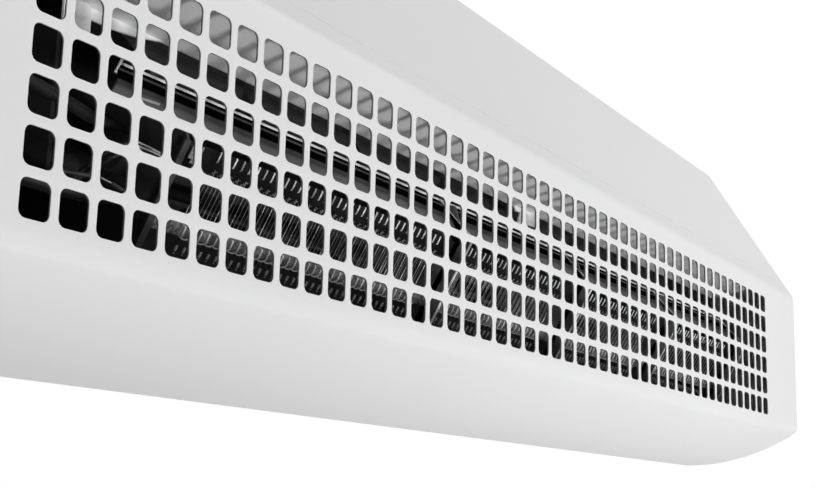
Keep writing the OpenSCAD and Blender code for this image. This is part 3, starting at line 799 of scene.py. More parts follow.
class Trees:
    """The trees of this scene, each made once."""

    def __init__(self) -> None:
        """Builds all trees."""
        self.grid, self.row, self.ring = self._grid(), self._row(), self._ring()
        self.tube, self.spots = self._tube(), self._spots()

    @staticmethod
    def _grid() -> Tree:
        """Returns the tree that lays one cell in columns and rows, upright."""
        tree = Tree("perforation", Columns=48, Rows=6, Width=1.0, Height=1.0)
        flat = tree.chain("GeometryNodeMeshGrid", Size_X="Width", Size_Y="Height",
                          Vertices_X="Columns", Vertices_Y="Rows")
        upright = tree.chain("GeometryNodeTransform", Geometry=flat, Rotation=(QUARTER, 0.0, 0.0))
        return tree.close(tree.copies(upright), merge=True)

    @staticmethod
    def _row() -> Tree:
        """Returns the tree that repeats a piece along the unit."""
        tree = Tree("row", Count=2, Pitch=0.01)
        step = tree.chain("ShaderNodeCombineXYZ", X="Pitch")
        return tree.close(tree.copies(tree.chain("GeometryNodeMeshLine", Count="Count", Offset=step)))

    @staticmethod
    def _ring() -> Tree:
        """Returns the tree that repeats a piece about an axis along the unit."""
        tree = Tree("ring", Count=28, Centre=(0.0, 0.0, 0.0))
        line = tree.chain("GeometryNodeMeshLine", Count="Count", Offset=(0.0, 0.0, 0.0))
        angle = tree.value("GeometryNodeInputIndex") / "Count" * math.tau
        ring = tree.copies(line, Rotation=tree.chain("ShaderNodeCombineXYZ", X=angle))
        return tree.close(tree.chain("GeometryNodeTransform", Geometry=ring, Translation="Centre"))

    @staticmethod
    def _tube() -> Tree:
        """Returns the tree that runs a round wire along a path."""
        tree = Tree("tube", False, Radius=0.0004, Sides=8)
        circle = tree.chain("GeometryNodeCurvePrimitiveCircle", Radius="Radius", Resolution="Sides")
        return tree.close(tree.chain("GeometryNodeCurveToMesh", Curve="Geometry", Profile_Curve=circle,
                                     Fill_Caps=True))

    @staticmethod
    def _spots() -> Tree:
        """Returns the tree that puts a piece on each vertex, turned as the vertex says."""
        tree = Tree("spots")
        turn = tree.node("GeometryNodeInputNamedAttribute", {"data_type": "FLOAT_VECTOR"})
        turn.inputs["Name"].default_value = "turn"
        return tree.close(tree.copies("Geometry", Rotation=turn.outputs["Attribute"]))


class Workshop:
    """Shared makers for the sub-assemblies."""

    def __init__(self) -> None:
        """Builds the trees."""
        self.trees = Trees()

    @staticmethod
    def repeated(tree: Tree, name: str, piece: Obj, finish: Finish, **values: object) -> Obj:
        """Runs a tree that places copies of a piece, and drops the piece.

        Args:
            tree: The tree.
            name: Name of the result.
            piece: The piece that is repeated.
            finish: Its finish.
            values: The tree's other inputs.

        Returns:
            The result as one object.
        """
        values = {"Piece": piece, "Material": finish.material(), **values}
        return tree.grown(name, bpy.data.meshes.new(name), values, SHARP)

    def scattered(self, name: str, piece: Obj, finish: Finish,
                  places: Sequence[tuple[Vector, Sequence[float]]]) -> Obj:
        """Puts copies of a piece at places with a turn each.

        Args:
            name: Name of the result.
            piece: The piece that is repeated.
            finish: Its finish.
            places: A place in metres and three angles in radians for each copy.

        Returns:
            The result as one object.
        """
        mesh = bpy.data.meshes.new(name)
        mesh.from_pydata([tuple(place) for place, _ in places], [], [])
        turns = mesh.attributes.new("turn", "FLOAT_VECTOR", "POINT")
        for item, (_, turn) in zip(turns.data, places):
            item.vector = turn
        return self.trees.spots.grown(name, mesh, {"Piece": piece, "Material": finish.material()}, SHARP)

    @staticmethod
    def joined(name: str, finish: Finish, *parts: Obj) -> Obj:
        """Makes one object of several, which are dropped."""
        return Shape().take(*parts).poured(name, finish.material(), BLUNT)

    def wire(self, name: str, paths: Sequence[Sequence[Vector]], radius: float, finish: Finish,
             sides: int = 8) -> Obj:
        """Runs round wires along paths.

        Args:
            name: Name of the result.
            paths: Points in metres of each wire.
            radius: Radius of the wire in millimetres.
            finish: Its finish.
            sides: Facets around it.

        Returns:
            The wires as one object.
        """
        curve = bpy.data.curves.new(name, "CURVE")
        curve.dimensions = "3D"
        for path in paths:
            points = curve.splines.new("POLY").points
            points.add(len(path) - 1)
            for point, place in zip(points, path):
                point.co = (*place, 1.0)
        values = {"Radius": radius * MM, "Sides": sides, "Material": finish.material()}
        return self.trees.tube.grown(name, curve, values, BLUNT)


def cut(made: Obj, *cutters: Obj) -> Obj:
    """Cuts solids out of an object.

    Args:
        made: The object.
        cutters: The solids, which are dropped.

    Returns:
        The object.
    """
    for cutter in cutters:
        modifier = made.modifiers.new("cut", "BOOLEAN")
        modifier.operation, modifier.solver, modifier.object = "DIFFERENCE", "EXACT", cutter
    graph = bpy.context.evaluated_depsgraph_get()
    mesh = bpy.data.meshes.new_from_object(made.evaluated_get(graph))
    made.modifiers.clear()
    made.data = mesh
    for cutter in cutters:
        bpy.data.objects.remove(cutter)
    smooth(made)
    return made


@dataclass
class Assembly:
    """A sub-assembly: the pieces that it makes, and the nodes whose shape stays as it came."""

    DRESSED: ClassVar[dict[str, Finish]] = {}
    MOVING: ClassVar[dict[str, str]] = {"impeller": "rotor", "outlet_vane": "vane"}

    shop: Workshop

    def pieces(self) -> Iterable[tuple]:
        """Yields each piece with its slot and the node that it stands for, if any."""
        raise NotImplementedError

    def build(self, frame: dict) -> None:
        """Hangs each piece on its body, hides the nodes that it stands for, and dresses the other nodes.

        Args:
            frame: The loaded frame.
        """
        for piece, slot, *nodes in self.pieces():
            body = self.MOVING.get(nodes[0], "housing") if nodes else "housing"
            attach(piece, body)
            if nodes:
                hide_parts(*nodes)
            LOG.info("%s: %d faces on %s", piece.name, len(piece.data.polygons), body)
        for name, finish in self.DRESSED.items():
            for entry in frame["nodes"][name].material_slots:
                entry.material = finish.material()
            LOG.info("%s: dressed with %s", name, finish.name)


# ------------------------------------------------------------------ casing


@dataclass
class Casing(Assembly):
    """Folded casing with its perforated cover, end caps and wall brackets."""

    face_top: float = 140.0
    height: float = 256.0
    depth: float = 216.0
    slope: Point = (72.0, 116.0)
    seam_up: float = 14.0
    seam_gap: float = 0.24
    seam_lip: float = 10.0
    belly_c: Point = (95.0, 175.0)
    belly_r: float = 175.0
    foot_r: float = 8.0
    brow_r: float = 10.0
    crown_r: float = 6.0
    rear_r: float = 3.0
    heel_r: float = 2.5
    heel_h: float = 16.0
    panel: Point = (97.5, 189.0)
    lip_h: float = 30.0
    columns: int = 48
    rows: int = 6
    pitch: float = 16.0
    hole_w: float = 12.4
    hole_r: float = 2.7
    hole_low: float = 42.0
    hole_edge: float = 0.15
    hole_steps: int = 4
    relief_from: float = 0.75
    relief: float = 0.4
    slot_x: float = 300.0
    slot_half: float = 31.0
    slot_z: Point = (196.0, 198.5)
    wall: float = 228.0
    bracket_x: Point = (-330.0, -270.0)
    bracket_z: Point = (82.0, 198.5)
    bracket_t: float = 2.5
    bracket_pitch: float = 600.0
    tab_w: float = 12.0

    def __post_init__(self) -> None:
        """Works out the bends."""
        self.slope_a = math.degrees(math.atan2(self.slope[1], self.slope[0]))
        self.slope_n = 90 + self.slope_a
        self.up = unit(self.slope_a)
        self.seam = shifted((0.0, self.face_top), self.up, self.seam_up)
        rise = math.sqrt((self.belly_r - self.foot_r) ** 2 - (self.belly_c[0] - self.foot_r) ** 2)
        self.foot_c = (self.foot_r, self.belly_c[1] - rise)
        self.foot_n = 180 + math.degrees(math.atan2(rise, self.belly_c[0] - self.foot_r))
        brow = self.brow_r * math.tan(math.radians((180 - self.slope_n) / 2))
        self.brow_c = (self.brow_r, self.face_top - brow)
        crown = self.crown_r * math.tan(math.radians(self.slope_a / 2))
        self.crown_c = (self.slope[0] + crown, self.height - self.crown_r)
        self.grid_x = self.columns * self.pitch / 2
        self.grid_z = (self.hole_low - self.pitch / 2, self.hole_low + (self.rows - 0.5) * self.pitch)

    def pieces(self) -> Iterable[tuple]:
        """Makes the casing's pieces."""
        yield self.cover(), "white_paint", "front_cover"
        yield self.hood(), "white_paint", "upper_casing"
        yield self.lip(), "white_paint"
        yield self.cap("left", -1), "white_paint", "end_cap_left"
        yield self.cap("right", 1), "white_paint", "end_cap_right"
        yield self.floor_panel(), "white_paint", "bottom_panel"
        yield self.brackets(), "galvanised", "wall_brackets"

    def hole(self, depth: float, grow: float) -> list[Vector]:
        """Returns a hole's outline at a depth, anticlockwise from the upper right.

        Args:
            depth: Depth below the face.
            grow: How much wider it is than the hole's narrow part.

        Returns:
            Its points about the hole's centre, in metres.
        """
        inset = self.hole_w / 2 - self.hole_r
        steps = self.hole_steps
        corners = ((1, 1, 0), (-1, 1, 90), (-1, -1, 180), (1, -1, 270))
        outline = [shifted((sx * inset, sz * inset), unit(start + 90 * k / steps), self.hole_r + grow)
                   for sx, sz, start in corners for k in range(steps + 1)]
        return [Vector((x, depth, z)) * MM for x, z in outline]

    def cell(self) -> Obj:
        """Returns one hole with the square of sheet around it, upright about the origin."""
        shape = Shape()
        half, edge, steps = self.pitch / 2, self.hole_edge, self.hole_steps
        square = ((half, half), (-half, half), (-half, -half), (half, -half))
        levels = ((0.0, edge), (edge * 0.3, edge * 0.3), (edge, 0.0), (self.relief_from, 0.0), (SHEET, self.relief))
        rings = [shape.verts(self.hole(*level)) for level in levels]
        for a, b in zip(rings, rings[1:]):
            shape.bridge(a, b, closed=True)
        faces = shape.bm.faces
        for depth, ring in ((0.0, rings[0]), (SHEET, rings[-1])):
            outer = shape.verts(Vector((x, depth, z)) * MM for x, z in square)
            for c in range(4):
                first = c * (steps + 1)
                for k in range(steps):
                    faces.new((outer[c], ring[first + k + 1], ring[first + k]))
                last, after = ring[first + steps], ring[(first + steps + 1) % len(ring)]
                faces.new((outer[c], outer[(c + 1) % 4], after, last))
        return shape.poured("cell", WHITE.material())

    def cover(self) -> Obj:
        """Returns the folded front with its perforated face and curved underside."""
        shape = Shape().take(self.shop.repeated(
            self.shop.trees.grid, "front_grille", self.cell(), WHITE, Columns=self.columns, Rows=self.rows,
            Width=(self.columns - 1) * self.pitch * MM, Height=(self.rows - 1) * self.pitch * MM))
        bmesh.ops.translate(shape.bm, vec=spot(0, 0, sum(self.grid_z) / 2), verts=shape.bm.verts)
        xs = [-END, *(-self.grid_x + i * self.pitch for i in range(self.columns + 1)), END]
        upper = Fold().straight(shifted(self.seam, self.up, -self.seam_gap / 2), self.slope_n)
        upper.bend(self.brow_c, self.brow_r, self.slope_n, 180, 12).straight((0, self.grid_z[1]), 180)
        shape.sheet(upper.held(), SHEET, xs, open_end=True)
        lower = Fold().straight((0, self.grid_z[0]), 180).bend(self.foot_c, self.foot_r, 180, self.foot_n, 16)
        lower.bend(self.belly_c, self.belly_r, self.foot_n, 270, 22)
        lower.bend((self.belly_c[0], self.heel_r), self.heel_r, 270, 360, 8)
        lower.straight((self.panel[0], self.lip_h), 360)
        shape.sheet(lower.held(), SHEET, xs, open_start=True)
        levels = [self.grid_z[0] + i * self.pitch for i in range(self.rows + 1)]
        for near, far in ((-self.grid_x, -END), (self.grid_x, END)):
            strips = [shape.verts(spot(x, y, z) for z in levels)
                      for x, y in ((near, 0.0), (far, 0.0), (far, SHEET), (near, SHEET))]
            for a, b in zip(strips, strips[1:]):
                shape.bridge(a, b)
        return shape.object("front_cover_folded", GRILLE)

    def over(self, fold: Fold) -> Fold:
        """Leads a fold that comes up the slope over the top and down to the heel.

        Args:
            fold: The fold, which is made longer.

        Returns:
            The fold itself.
        """
        rear = self.depth - self.rear_r
        fold.bend(self.crown_c, self.crown_r, self.slope_n, 90, 14)
        fold.bend((rear, self.height - self.rear_r), self.rear_r, 90, 0, 8)
        fold.bend((rear, self.heel_h + self.rear_r), self.rear_r, 0, -90, 8)
        return fold.straight((self.panel[1], self.heel_h), -90)

    def hood(self) -> Obj:
        """Returns the upper casing: slope, top and rear panel, with its slots."""
        fold = Fold().straight(shifted(self.seam, self.up, self.seam_gap / 2), self.slope_n)
        shape, slots = Shape().sheet(self.over(fold).held(), SHEET, [-END, END]), Shape()
        for x in (-self.slot_x, self.slot_x):
            slots.block((x - self.slot_half, self.depth - 3, self.slot_z[0]),
                        (x + self.slot_half, self.depth + 2, self.slot_z[1]))
        cord = Shape().pin(spot(*GLAND), 2, (-6, 6), [(0, 0), (0, 10)], 48)
        return cut(shape.object("upper_casing_folded", WHITE),
                   slots.object("slot_cut", WHITE), cord.object("cord_cut", WHITE))

    def lip(self) -> Obj:
        """Returns the strip of sheet that lies behind the seam."""
        middle = shifted(self.seam, self.up, self.seam_gap / 2)
        middle = shifted(middle, unit(self.slope_n), -SHEET - 0.02)
        fold = Fold().straight(shifted(middle, self.up, -self.seam_lip), self.slope_n)
        fold.straight(shifted(middle, self.up, self.seam_lip), self.slope_n)
        return Shape().sheet(fold, SHEET, [-END, END]).object("seam_lip", WHITE)

    def floor_panel(self) -> Obj:
        """Returns the bottom panel with its upturned sides and the outlet's opening."""
        turn = 1.0
        left, right, level = self.panel[0] + SHEET, self.panel[1] - SHEET, FLOOR + SHEET
        fold = Fold().straight((left, self.lip_h), 0).hollow((left + turn, level + turn), turn, 0, 90)
        fold.hollow((right - turn, level + turn), turn, 90, 180).straight((right, self.lip_h), 180)
        opening = Shape().block((BAY[0], OUTLET[0], FLOOR - 2), (BAY[1], OUTLET[1], FLOOR + 2.5))
        return cut(Shape().sheet(fold.held(), SHEET, [-END, END]).object("bottom_panel_folded", WHITE),
                   opening.object("outlet_cut", WHITE))

    def brackets(self) -> Obj:
        """Returns the two wall brackets, folded to a hook at the top."""
        (low, high), turn, tight = self.bracket_z, 3.2, 0.8
        face = self.depth - SHEET
        fold = Fold().straight((self.depth, low), -90).bend((self.wall - turn, low + turn), turn, -90, 0, 6)
        fold.bend((self.wall - turn, high - turn), turn, 0, 90, 6)
        fold.hollow((face + tight, high + tight), tight, 90, 0, 5).straight((face, high + 14), 0)
        bracket = Shape().sheet(fold.held(), self.bracket_t, self.bracket_x).object("bracket", ZINC)
        middle = (sum(self.bracket_x) / 2, self.wall - self.bracket_t / 2)
        holes = [Shape().pin(spot(*middle, z), 1, (-4, 4), [(0, 0), (0, 4.25)], 40).object("screw_cut", ZINC)
                 for z in (100.0, 180.0)]
        return self.shop.repeated(self.shop.trees.row, "wall_brackets_folded", cut(bracket, *holes), ZINC,
                                  Count=2, Pitch=self.bracket_pitch * MM)

    def cap(self, name: str, side: int) -> Obj:
        """Returns one end cap with a rounded outer edge and its screw tabs.

        Args:
            name: Which end it closes, as text.
            side: -1 for the left end, 1 for the right one.

        Returns:
            The cap as one object.
        """
        fold = Fold().bend(self.foot_c, self.foot_r, self.foot_n, 180, 14)
        self.over(fold.bend(self.brow_c, self.brow_r, 180, self.slope_n, 12))
        fold.straight((self.panel[1], FLOOR), -90).straight((self.panel[0], FLOOR), -90)
        fold.bend((self.belly_c[0], self.heel_r), self.heel_r, 0, -90, 8)
        fold.bend(self.belly_c, self.belly_r, 270, self.foot_n, 24)
        inner, soft = HALF - SHEET, 0.5
        shape = Shape().prism(*((side * x, fold.outline(d)) for x, d in (
            (inner, 0.0), (HALF - soft, 0.0), (HALF - soft * 0.3, soft * 0.3), (HALF, soft))))
        near, far = sorted((side * (inner - self.tab_w), side * inner))
        top, foot = self.crown_c[0], self.foot_c[1]
        for (y0, z0), (y1, z1) in (((top + 30, self.height - 2 * SHEET), (top + 90, self.height - SHEET)),
                                   ((self.depth - 2 * SHEET, 90), (self.depth - SHEET, 150)),
                                   ((SHEET, foot + 6), (2 * SHEET, foot + 96))):
            shape.block((near, y0, z0), (far, y1, z1))
        return shape.object(f"end_cap_{name}_plate", WHITE)


# ------------------------------------------------------------------ air path


@dataclass
class AirPath(Assembly):
    """Ceiling and scroll, tongue, and the outlet with its vane."""

    DRESSED: ClassVar[dict[str, Finish]] = {"tongue": DARK, "vane_supports": BLACK}

    inner_t: float = 1.0
    scroll_r: Point = (69.0, 81.0)
    lip_r: float = 3.0
    lip_a: float = 165.0
    trim: Point = (5.0, 1.5)
    vane_h: float = 32.0
    vane_size: Point = (44.0, 5.0)
    vane_in: float = 4.5
    pin_r: float = 2.25
    scroll_foot: tuple = (((176.0, 15.2), -17), ((186.4, 14.2), 90))
    tab_y: Point = (54.6, 55.6)
    rivet: Point = (-311.5, 134.5)
    tabs: tuple = (
        ((-320.0, 137.2), (-320.0, 123.0), (-306.0, 123.0), (-306.0, 132.2), (-294.0, 132.2), (-280.0, 133.6),
         (-262.0, 137.2)),
        ((49.0, 137.6), (52.0, 133.5), (57.5, 134.0), (55.0, 128.0), (57.0, 124.0), (66.0, 124.0), (68.0, 128.2),
         (79.0, 128.8), (81.5, 132.2), (79.5, 133.2), (82.0, 137.6)),
        ((424.0, 137.6), (424.0, 131.0), (428.0, 127.5), (437.0, 127.5), (439.0, 131.0), (439.0, 137.6)))

    def pieces(self) -> Iterable[tuple]:
        """Makes the air path's pieces."""
        yield self.ceiling(), "light_sheet", "fan_scroll"
        yield self.scroll(), "light_sheet"
        yield self.skirt(), "light_sheet"
        yield self.outlet_frame(), "dark_sheet", "outlet_trim"
        yield self.vane(), "white_paint", "outlet_vane"

    def ceiling(self) -> Obj:
        """Returns the ceiling sheet over the inlet, with its upturned lip."""
        lip_c = shifted(AXIS, unit(self.lip_a), self.scroll_r[0] + self.lip_r)
        fold = Fold().straight((1.25, lip_c[1] - self.lip_r), 90).hollow(lip_c, self.lip_r, 90, self.lip_a, 10)
        return Shape().sheet(fold.held(), self.inner_t, [BAY[0] - 58, END]).object("ceiling_sheet", PALE)

    def skirt(self) -> Obj:
        """Returns the brackets that hang from the ceiling's lip, and a rivet."""
        shape = Shape()
        for corners in self.tabs:
            shape.solid(*([spot(x, y, z) for x, z in corners] for y in self.tab_y))
        rivet = spot(self.rivet[0], self.tab_y[0], self.rivet[1])
        shape.spun(rivet, 1, [(0.2, 0), (0.2, 4.2), (-0.8, 4.2), (-1.6, 3), (-1.9, 0)], 24)
        return shape.object("ceiling_brackets", PALE, merge=False)

    def scroll(self) -> Obj:
        """Returns the scroll behind the wheel, down to its flange on the bottom panel, coloured near black as painted
        shade.
        """
        back = Fold().spiral(AXIS, self.scroll_r, 164.5, 0, 60).bend(AXIS, self.scroll_r[1], -1, -17, 6)
        for point, angle in self.scroll_foot:
            back.straight(point, angle)
        return Shape().sheet(back, self.inner_t, BAY).object("scroll_sheet", SHADED_SCROLL)

    def outlet_frame(self) -> Obj:
        """Returns the mitred trim round the outlet, with softened edges."""
        width, thick = self.trim
        low, soft = FLOOR - thick, 0.4
        profile = ((0, FLOOR), (0, low + soft), (soft, low), (width - soft, low), (width, low + soft), (width, FLOOR))
        corners = ((BAY[1], OUTLET[1], 1, 1), (BAY[0], OUTLET[1], -1, 1), (BAY[0], OUTLET[0], -1, -1),
                   (BAY[1], OUTLET[0], 1, -1))
        rings = [[spot(x + sx * d, y + sy * d, z) for d, z in profile] for x, y, sx, sy in corners]
        return Shape().solid(*rings, circuit=True).object("outlet_trim_frame", DARK)

    def vane(self) -> Obj:
        """Returns the air vane: a lens section with blunt edges, and its two pins."""
        chord, thick = self.vane_size
        deep, high = sum(OUTLET) / 2, self.vane_h
        x0, x1 = BAY[0] + self.vane_in, BAY[1] - self.vane_in
        blunt, steps = 0.35, 14
        side = [(blunt + (thick / 2 - blunt) * (1 - (2 * i / steps - 1) ** 2), chord * (i / steps - 0.5))
                for i in range(steps + 1)]
        lens = [(deep + w, high + h) for w, h in side] + [(deep - w, high + h) for w, h in reversed(side)]
        shape = Shape().prism((x0, lens), (x1, lens))
        for ends in ((BAY[0] + 0.2, x0 + 0.5), (x1 - 0.5, BAY[1] - 0.2)):
            shape.pin(spot(0, deep, high), 0, ends, [(0, 0), (0, self.pin_r)], 24)
        return shape.object("air_vane", WHITE)


# ------------------------------------------------------------------ heater


@dataclass
class Heater(Assembly):
    """Stitched-wire heater with its hood, boards, plates and dividers."""

    DRESSED: ClassVar[dict[str, Finish]] = {
        "heater_dividers": PARTING, "fan_plate_right": DARK, "heater_terminals": STEEL}

    nose: Point = (27.0, 91.0)
    lean: float = 29.5
    bays: tuple = (-278.0, -69.0, 83.0, 235.0, 387.0)
    plate_t: float = 1.5
    strip_t: float = 1.6
    boards: tuple = ((2.0, 11.0), (32.5, 38.5))
    length: float = 50.0
    pitch: float = 4.93
    first: float = 19.9
    margin: float = 7.0
    line_r: float = 0.15
    stroke_r: float = 0.38
    turn_r: float = 0.36
    dash_r: float = 0.5
    dot_r: float = 0.35
    curl_r: float = 0.22
    knot_r: float = 0.25
    front_s: Point = (10.5, 33.0)
    front_m: float = -0.6
    rear_s: Point = (3.0, 37.0)
    rear_shift: float = -1.2
    tail_s: Point = (36.5, 43.4)
    dash_s: Point = (42.8, 45.2)
    dot_s: Point = (45.8, 46.3)
    notch: Point = (0.6, 0.7)
    hood_off: Point = (42.9, -10.8)
    hood_r: float = 45.0
    hood_top: float = 135.0
    hood_low: float = 162.0
    nose_r: float = 3.0
    bead_r: float = 0.9
    bead_in: float = 2.2
    tip: Point = (18.0, 90.0)
    reach: float = 8.0
    overhang: float = 27.0
    skew: float = 0.8
    shaft_room: float = 86.0
    arm_r: float = 0.55
    clip_r: float = 0.5
    arm: tuple = ((-304.3, 37.8, 114.6), (-305.9, 37.2, 114.2), (-311.2, 35.2, 107.2), (-308.4, 35.6, 106.4))
    clip: tuple = ((-306.0, 29.0, 97.4), (-305.0, 27.8, 97.8), (-295.6, 27.6, 98.2), (-294.6, 29.2, 98.6))
    plate_top: tuple = ((40.8, 111.5), (64.4, 136.6))
    plate_rear: tuple = ((214.8, 116.0), (214.8, 31.0), (187.8, 31.0), (187.8, 14.4), (186.6, 13.2), (99.9, 13.2),
                         (98.7, 14.4), (98.7, 30.0))

    def __post_init__(self) -> None:
        """Works out the directions of the heater's plane and the places of the wires."""
        c, w = unit(self.lean)
        self.down, self.out = (w, -c), (-c, -w)
        self.hood_c = (self.nose[0] + self.hood_off[0], self.nose[1] + self.hood_off[1])
        self.behind = -self.strip_t - self.line_r - 0.05
        self.wires: list[list[float]] = []
        for i, (x0, x1) in enumerate(zip(self.bays, self.bays[1:])):
            start = x0 + (self.margin if i else self.first)
            count = int((x1 - self.plate_t - self.margin - start) / self.pitch / 2) * 2
            self.wires.append([start + k * self.pitch for k in range(count)])
        left = self.bays[0] - self.plate_t - self.overhang
        self.spans = [(x0 + 0.05, x1 - self.plate_t - 0.05)
                      for x0, x1 in zip((left, *self.bays[1:-1]), self.bays[1:])]

    def place(self, s: float, m: float) -> Point:
        """Returns a point of the section: down the heater's slope, and out from it."""
        return shifted(shifted(self.nose, self.down, s), self.out, m)

    def at(self, x: float, s: float, m: float) -> Vector:
        """Returns a place: along, down the heater's slope, and out from it."""
        return spot(x, *self.place(s, m))

    def arc(self, angle: float, inside: float = 0.0) -> Point:
        """Returns a point of the hood's arc, or inside it."""
        return shifted(self.hood_c, unit(angle), self.hood_r - inside)

    def pieces(self) -> Iterable[tuple]:
        """Makes the heater's pieces."""
        yield self.hood(), "galvanised", "heater_hood"
        yield self.bead(), "galvanised"
        yield self.clips(), "galvanised"
        yield self.lines(), "heater_wire", "heater_wires"
        yield self.strokes(), "heater_wire"
        yield self.curls(), "heater_wire"
        yield self.tails(), "heater_wire"
        yield self.board("lower_board", MICA, self.boards[1], 1), "mica", "insulating_strips"
        # The upper board is the mica board coloured dark as painted shade.
        yield self.board("upper_board", SHADED_BOARD, self.boards[0][::-1], -1), "mica"
        yield self.wings(), "dark_sheet"
        yield self.edges(), "galvanised"
        yield self.tab(), "galvanised"
        yield self.left_plate(), "dark_sheet", "fan_plate_left"
        yield self.flange(), "dark_sheet"

    def hood(self) -> Obj:
        """Returns the curved hood over the heater, cut slanting at its left end, with reflections painted on it."""
        fold = Fold().bend(self.arc(self.hood_low, self.nose_r), self.nose_r, 188, self.hood_low, 6)
        fold.bend(self.hood_c, self.hood_r, self.hood_low, self.hood_top, 14)
        shape = Shape()
        for span in self.spans:
            shape.sheet(fold, 1.0, span)
        top = spot(self.spans[0][0], *self.arc(self.hood_top))
        for vert in shape.bm.verts:
            if vert.co.x < top.x + MM:
                vert.co.x -= max(0.0, top.z - vert.co.z) * self.skew
        return shape.object("hood_sheet", GUIDE)

    def bead(self) -> Obj:
        """Returns the rolled top edge of the hood, coloured near white as a painted highlight."""
        centre = shifted(self.arc(self.hood_top, 0.2), unit(45), self.bead_r * 0.8)
        outline = [shifted(centre, unit(30 * i), self.bead_r) for i in range(12)]
        shape = Shape()
        for i, (x0, x1) in enumerate(self.spans):
            shape.prism((x0 if i else x0 + self.bead_in, outline), (x1, outline))
        return shape.object("hood_bead", HIGHLIT_EDGE)

    def clips(self) -> Obj:
        """Returns the arm and the spring clip at the hood's left end, coloured near white as painted highlights."""
        return self.shop.joined("hood_clips", HIGHLIT_EDGE, self.shop.wire("arm", spots(self.arm), self.arm_r, HIGHLIT_EDGE),
                                self.shop.wire("clip", spots(self.clip), self.clip_r, HIGHLIT_EDGE))

    def board(self, name: str, finish: Finish, width: Point, way: int) -> Obj:
        """Returns one insulating board in all bays, notched at its edge for each wire.

        Args:
            name: Name of the result.
            finish: Its finish.
            width: Where its plain edge and its notched edge lie down the slope.
            way: 1 where the notched edge is the lower one, -1 where it is the upper one.

        Returns:
            The board as one object.
        """
        back, edge = width
        half, depth = self.notch
        shape = Shape()
        for x0, x1, wires in zip(self.bays, self.bays[1:], self.wires):
            front = [(x0 + 0.05, edge)]
            for x in wires:
                front += [(x - half, edge), (x - half * 0.5, edge - way * depth),
                          (x + half * 0.5, edge - way * depth), (x + half, edge)]
            front.append((x1 - self.plate_t - 0.05, edge))
            rear = [(x, back) for x, _ in front]
            rows = [shape.verts(self.at(x, s, m) for x, s in places)
                    for m, places in ((0.0, rear), (0.0, front), (-self.strip_t, front), (-self.strip_t, rear))]
            for a, b in zip(rows, rows[1:] + rows[:1]):
                shape.bridge(a, b)
            for end in (0, -1):
                shape.bm.faces.new([row[end] for row in rows])
        return shape.object(name, finish)

    def stitched(self, path: Run, radius: float, sides: int, shift: float = 0.0, name: str = "runs",
                 finish: Finish = HIGHLIT_WIRE) -> Obj:
        """Repeats a short run of wire at the wires' places.

        Args:
            path: Points of the run: along, down the slope, and out.
            radius: Radius of the wire.
            sides: Facets around it.
            shift: Distance along the unit from the wires' places.
            name: Name of the result.
            finish: Its finish.

        Returns:
            The runs as one object.
        """
        piece = self.shop.wire("run", [[self.at(*p) for p in path]], radius, finish, sides)
        places = [(Vector((x + shift, 0.0, 0.0)) * MM, (0.0, 0.0, 0.0)) for row in self.wires for x in row]
        return self.shop.scattered(name, piece, finish, places)

    def lines(self) -> Obj:
        """Returns the thin wires between the boards, in front and behind."""
        front = self.stitched([(0, s, self.front_m) for s in self.front_s], self.line_r, 6)
        rear = self.stitched([(0, s, self.behind) for s in self.rear_s], self.line_r * 0.8, 6, self.rear_shift)
        return self.shop.joined("heater_lines", THIN, front, rear)

    def tails(self) -> Obj:
        """Returns the runs of wire below the lower board, darkened by oxide and by painted shade."""
        path = [(0, s, self.behind) for s in self.tail_s]
        return self.stitched(path, self.line_r, 5, self.pitch / 2, "wire_tails", OXIDE_AND_SHADE)

    def strokes(self) -> Obj:
        """Returns the doubled ends of the wires over the boards' edges and below them, coloured as painted
        highlights.
        """
        r, half = self.stroke_r, self.pitch / 2
        under = -self.strip_t - r
        top = [(0, 6.4, -0.5), (0, 6.0, r), (0, 2.3, r), (0, 2.1, 0.0)]
        low = [(0, 34.2, -0.5), (0, 34.6, r), (0, 38.0, r), (0, 38.9, r * 0.4), (0, 38.9, -0.8), (0, 38.0, under)]
        round_off = [(half + w * half, 38.8 + 0.7 * c, -0.4) for c, w in map(unit, (-60, -30, 0, 30, 60))]
        turn = [(0, 38.4, 0.0), *round_off, (self.pitch, 38.4, 0.0)]
        dash, dot = ([(0, s, under) for s in span] for span in (self.dash_s, self.dot_s))
        return self.shop.joined("heater_strokes", HIGHLIT_WIRE, *(self.stitched(*run) for run in (
            (top, r, 8), (low, r, 8), (turn, self.turn_r, 6), (dash, self.dash_r, 6, half),
            (dot, self.dot_r, 6, half))))

    def curls(self) -> Obj:
        """Returns the small bends under the upper board, and the knots between them."""
        loop = [(0.9 * c, 10.0 + 1.1 * w, 0.3 + 0.1 * k)
                for k, (c, w) in enumerate(unit(-35 + 30 * i) for i in range(8))]
        knot = [(1.7, 10.2, 0.0), (2.0, 9.8, 0.4), (2.5, 9.9, 0.1)]
        return self.shop.joined("heater_curls", THIN, self.stitched(loop, self.curl_r, 5),
                                self.stitched(knot, self.knot_r, 5))

    def front_line(self) -> list[Point]:
        """Returns the section's line along which the dividers end in front."""
        return [self.place(self.length, self.reach), self.tip, self.arc(self.hood_top, -0.6)]

    def divider(self, name: str, outline: Sequence[Point], proud: float, finish: Finish) -> Obj:
        """Returns one form repeated on all dividers.

        Args:
            name: Name of the result.
            outline: Its section.
            proud: How far it stands out of the dividers' sides.
            finish: Its finish.

        Returns:
            The forms as one object.
        """
        shape = Shape()
        for x in self.bays[1:]:
            shape.prism((x - self.plate_t - proud, outline), (x + proud, outline))
        return shape.object(name, finish)

    def wings(self) -> Obj:
        """Returns the dividers' front parts, which stand out of the heater."""
        back = [self.arc(148, 2.0), self.place(4.0, 0.0), self.place(self.length, -1.0)]
        return self.divider("divider_wings", self.front_line() + back, 0.0, PARTING)

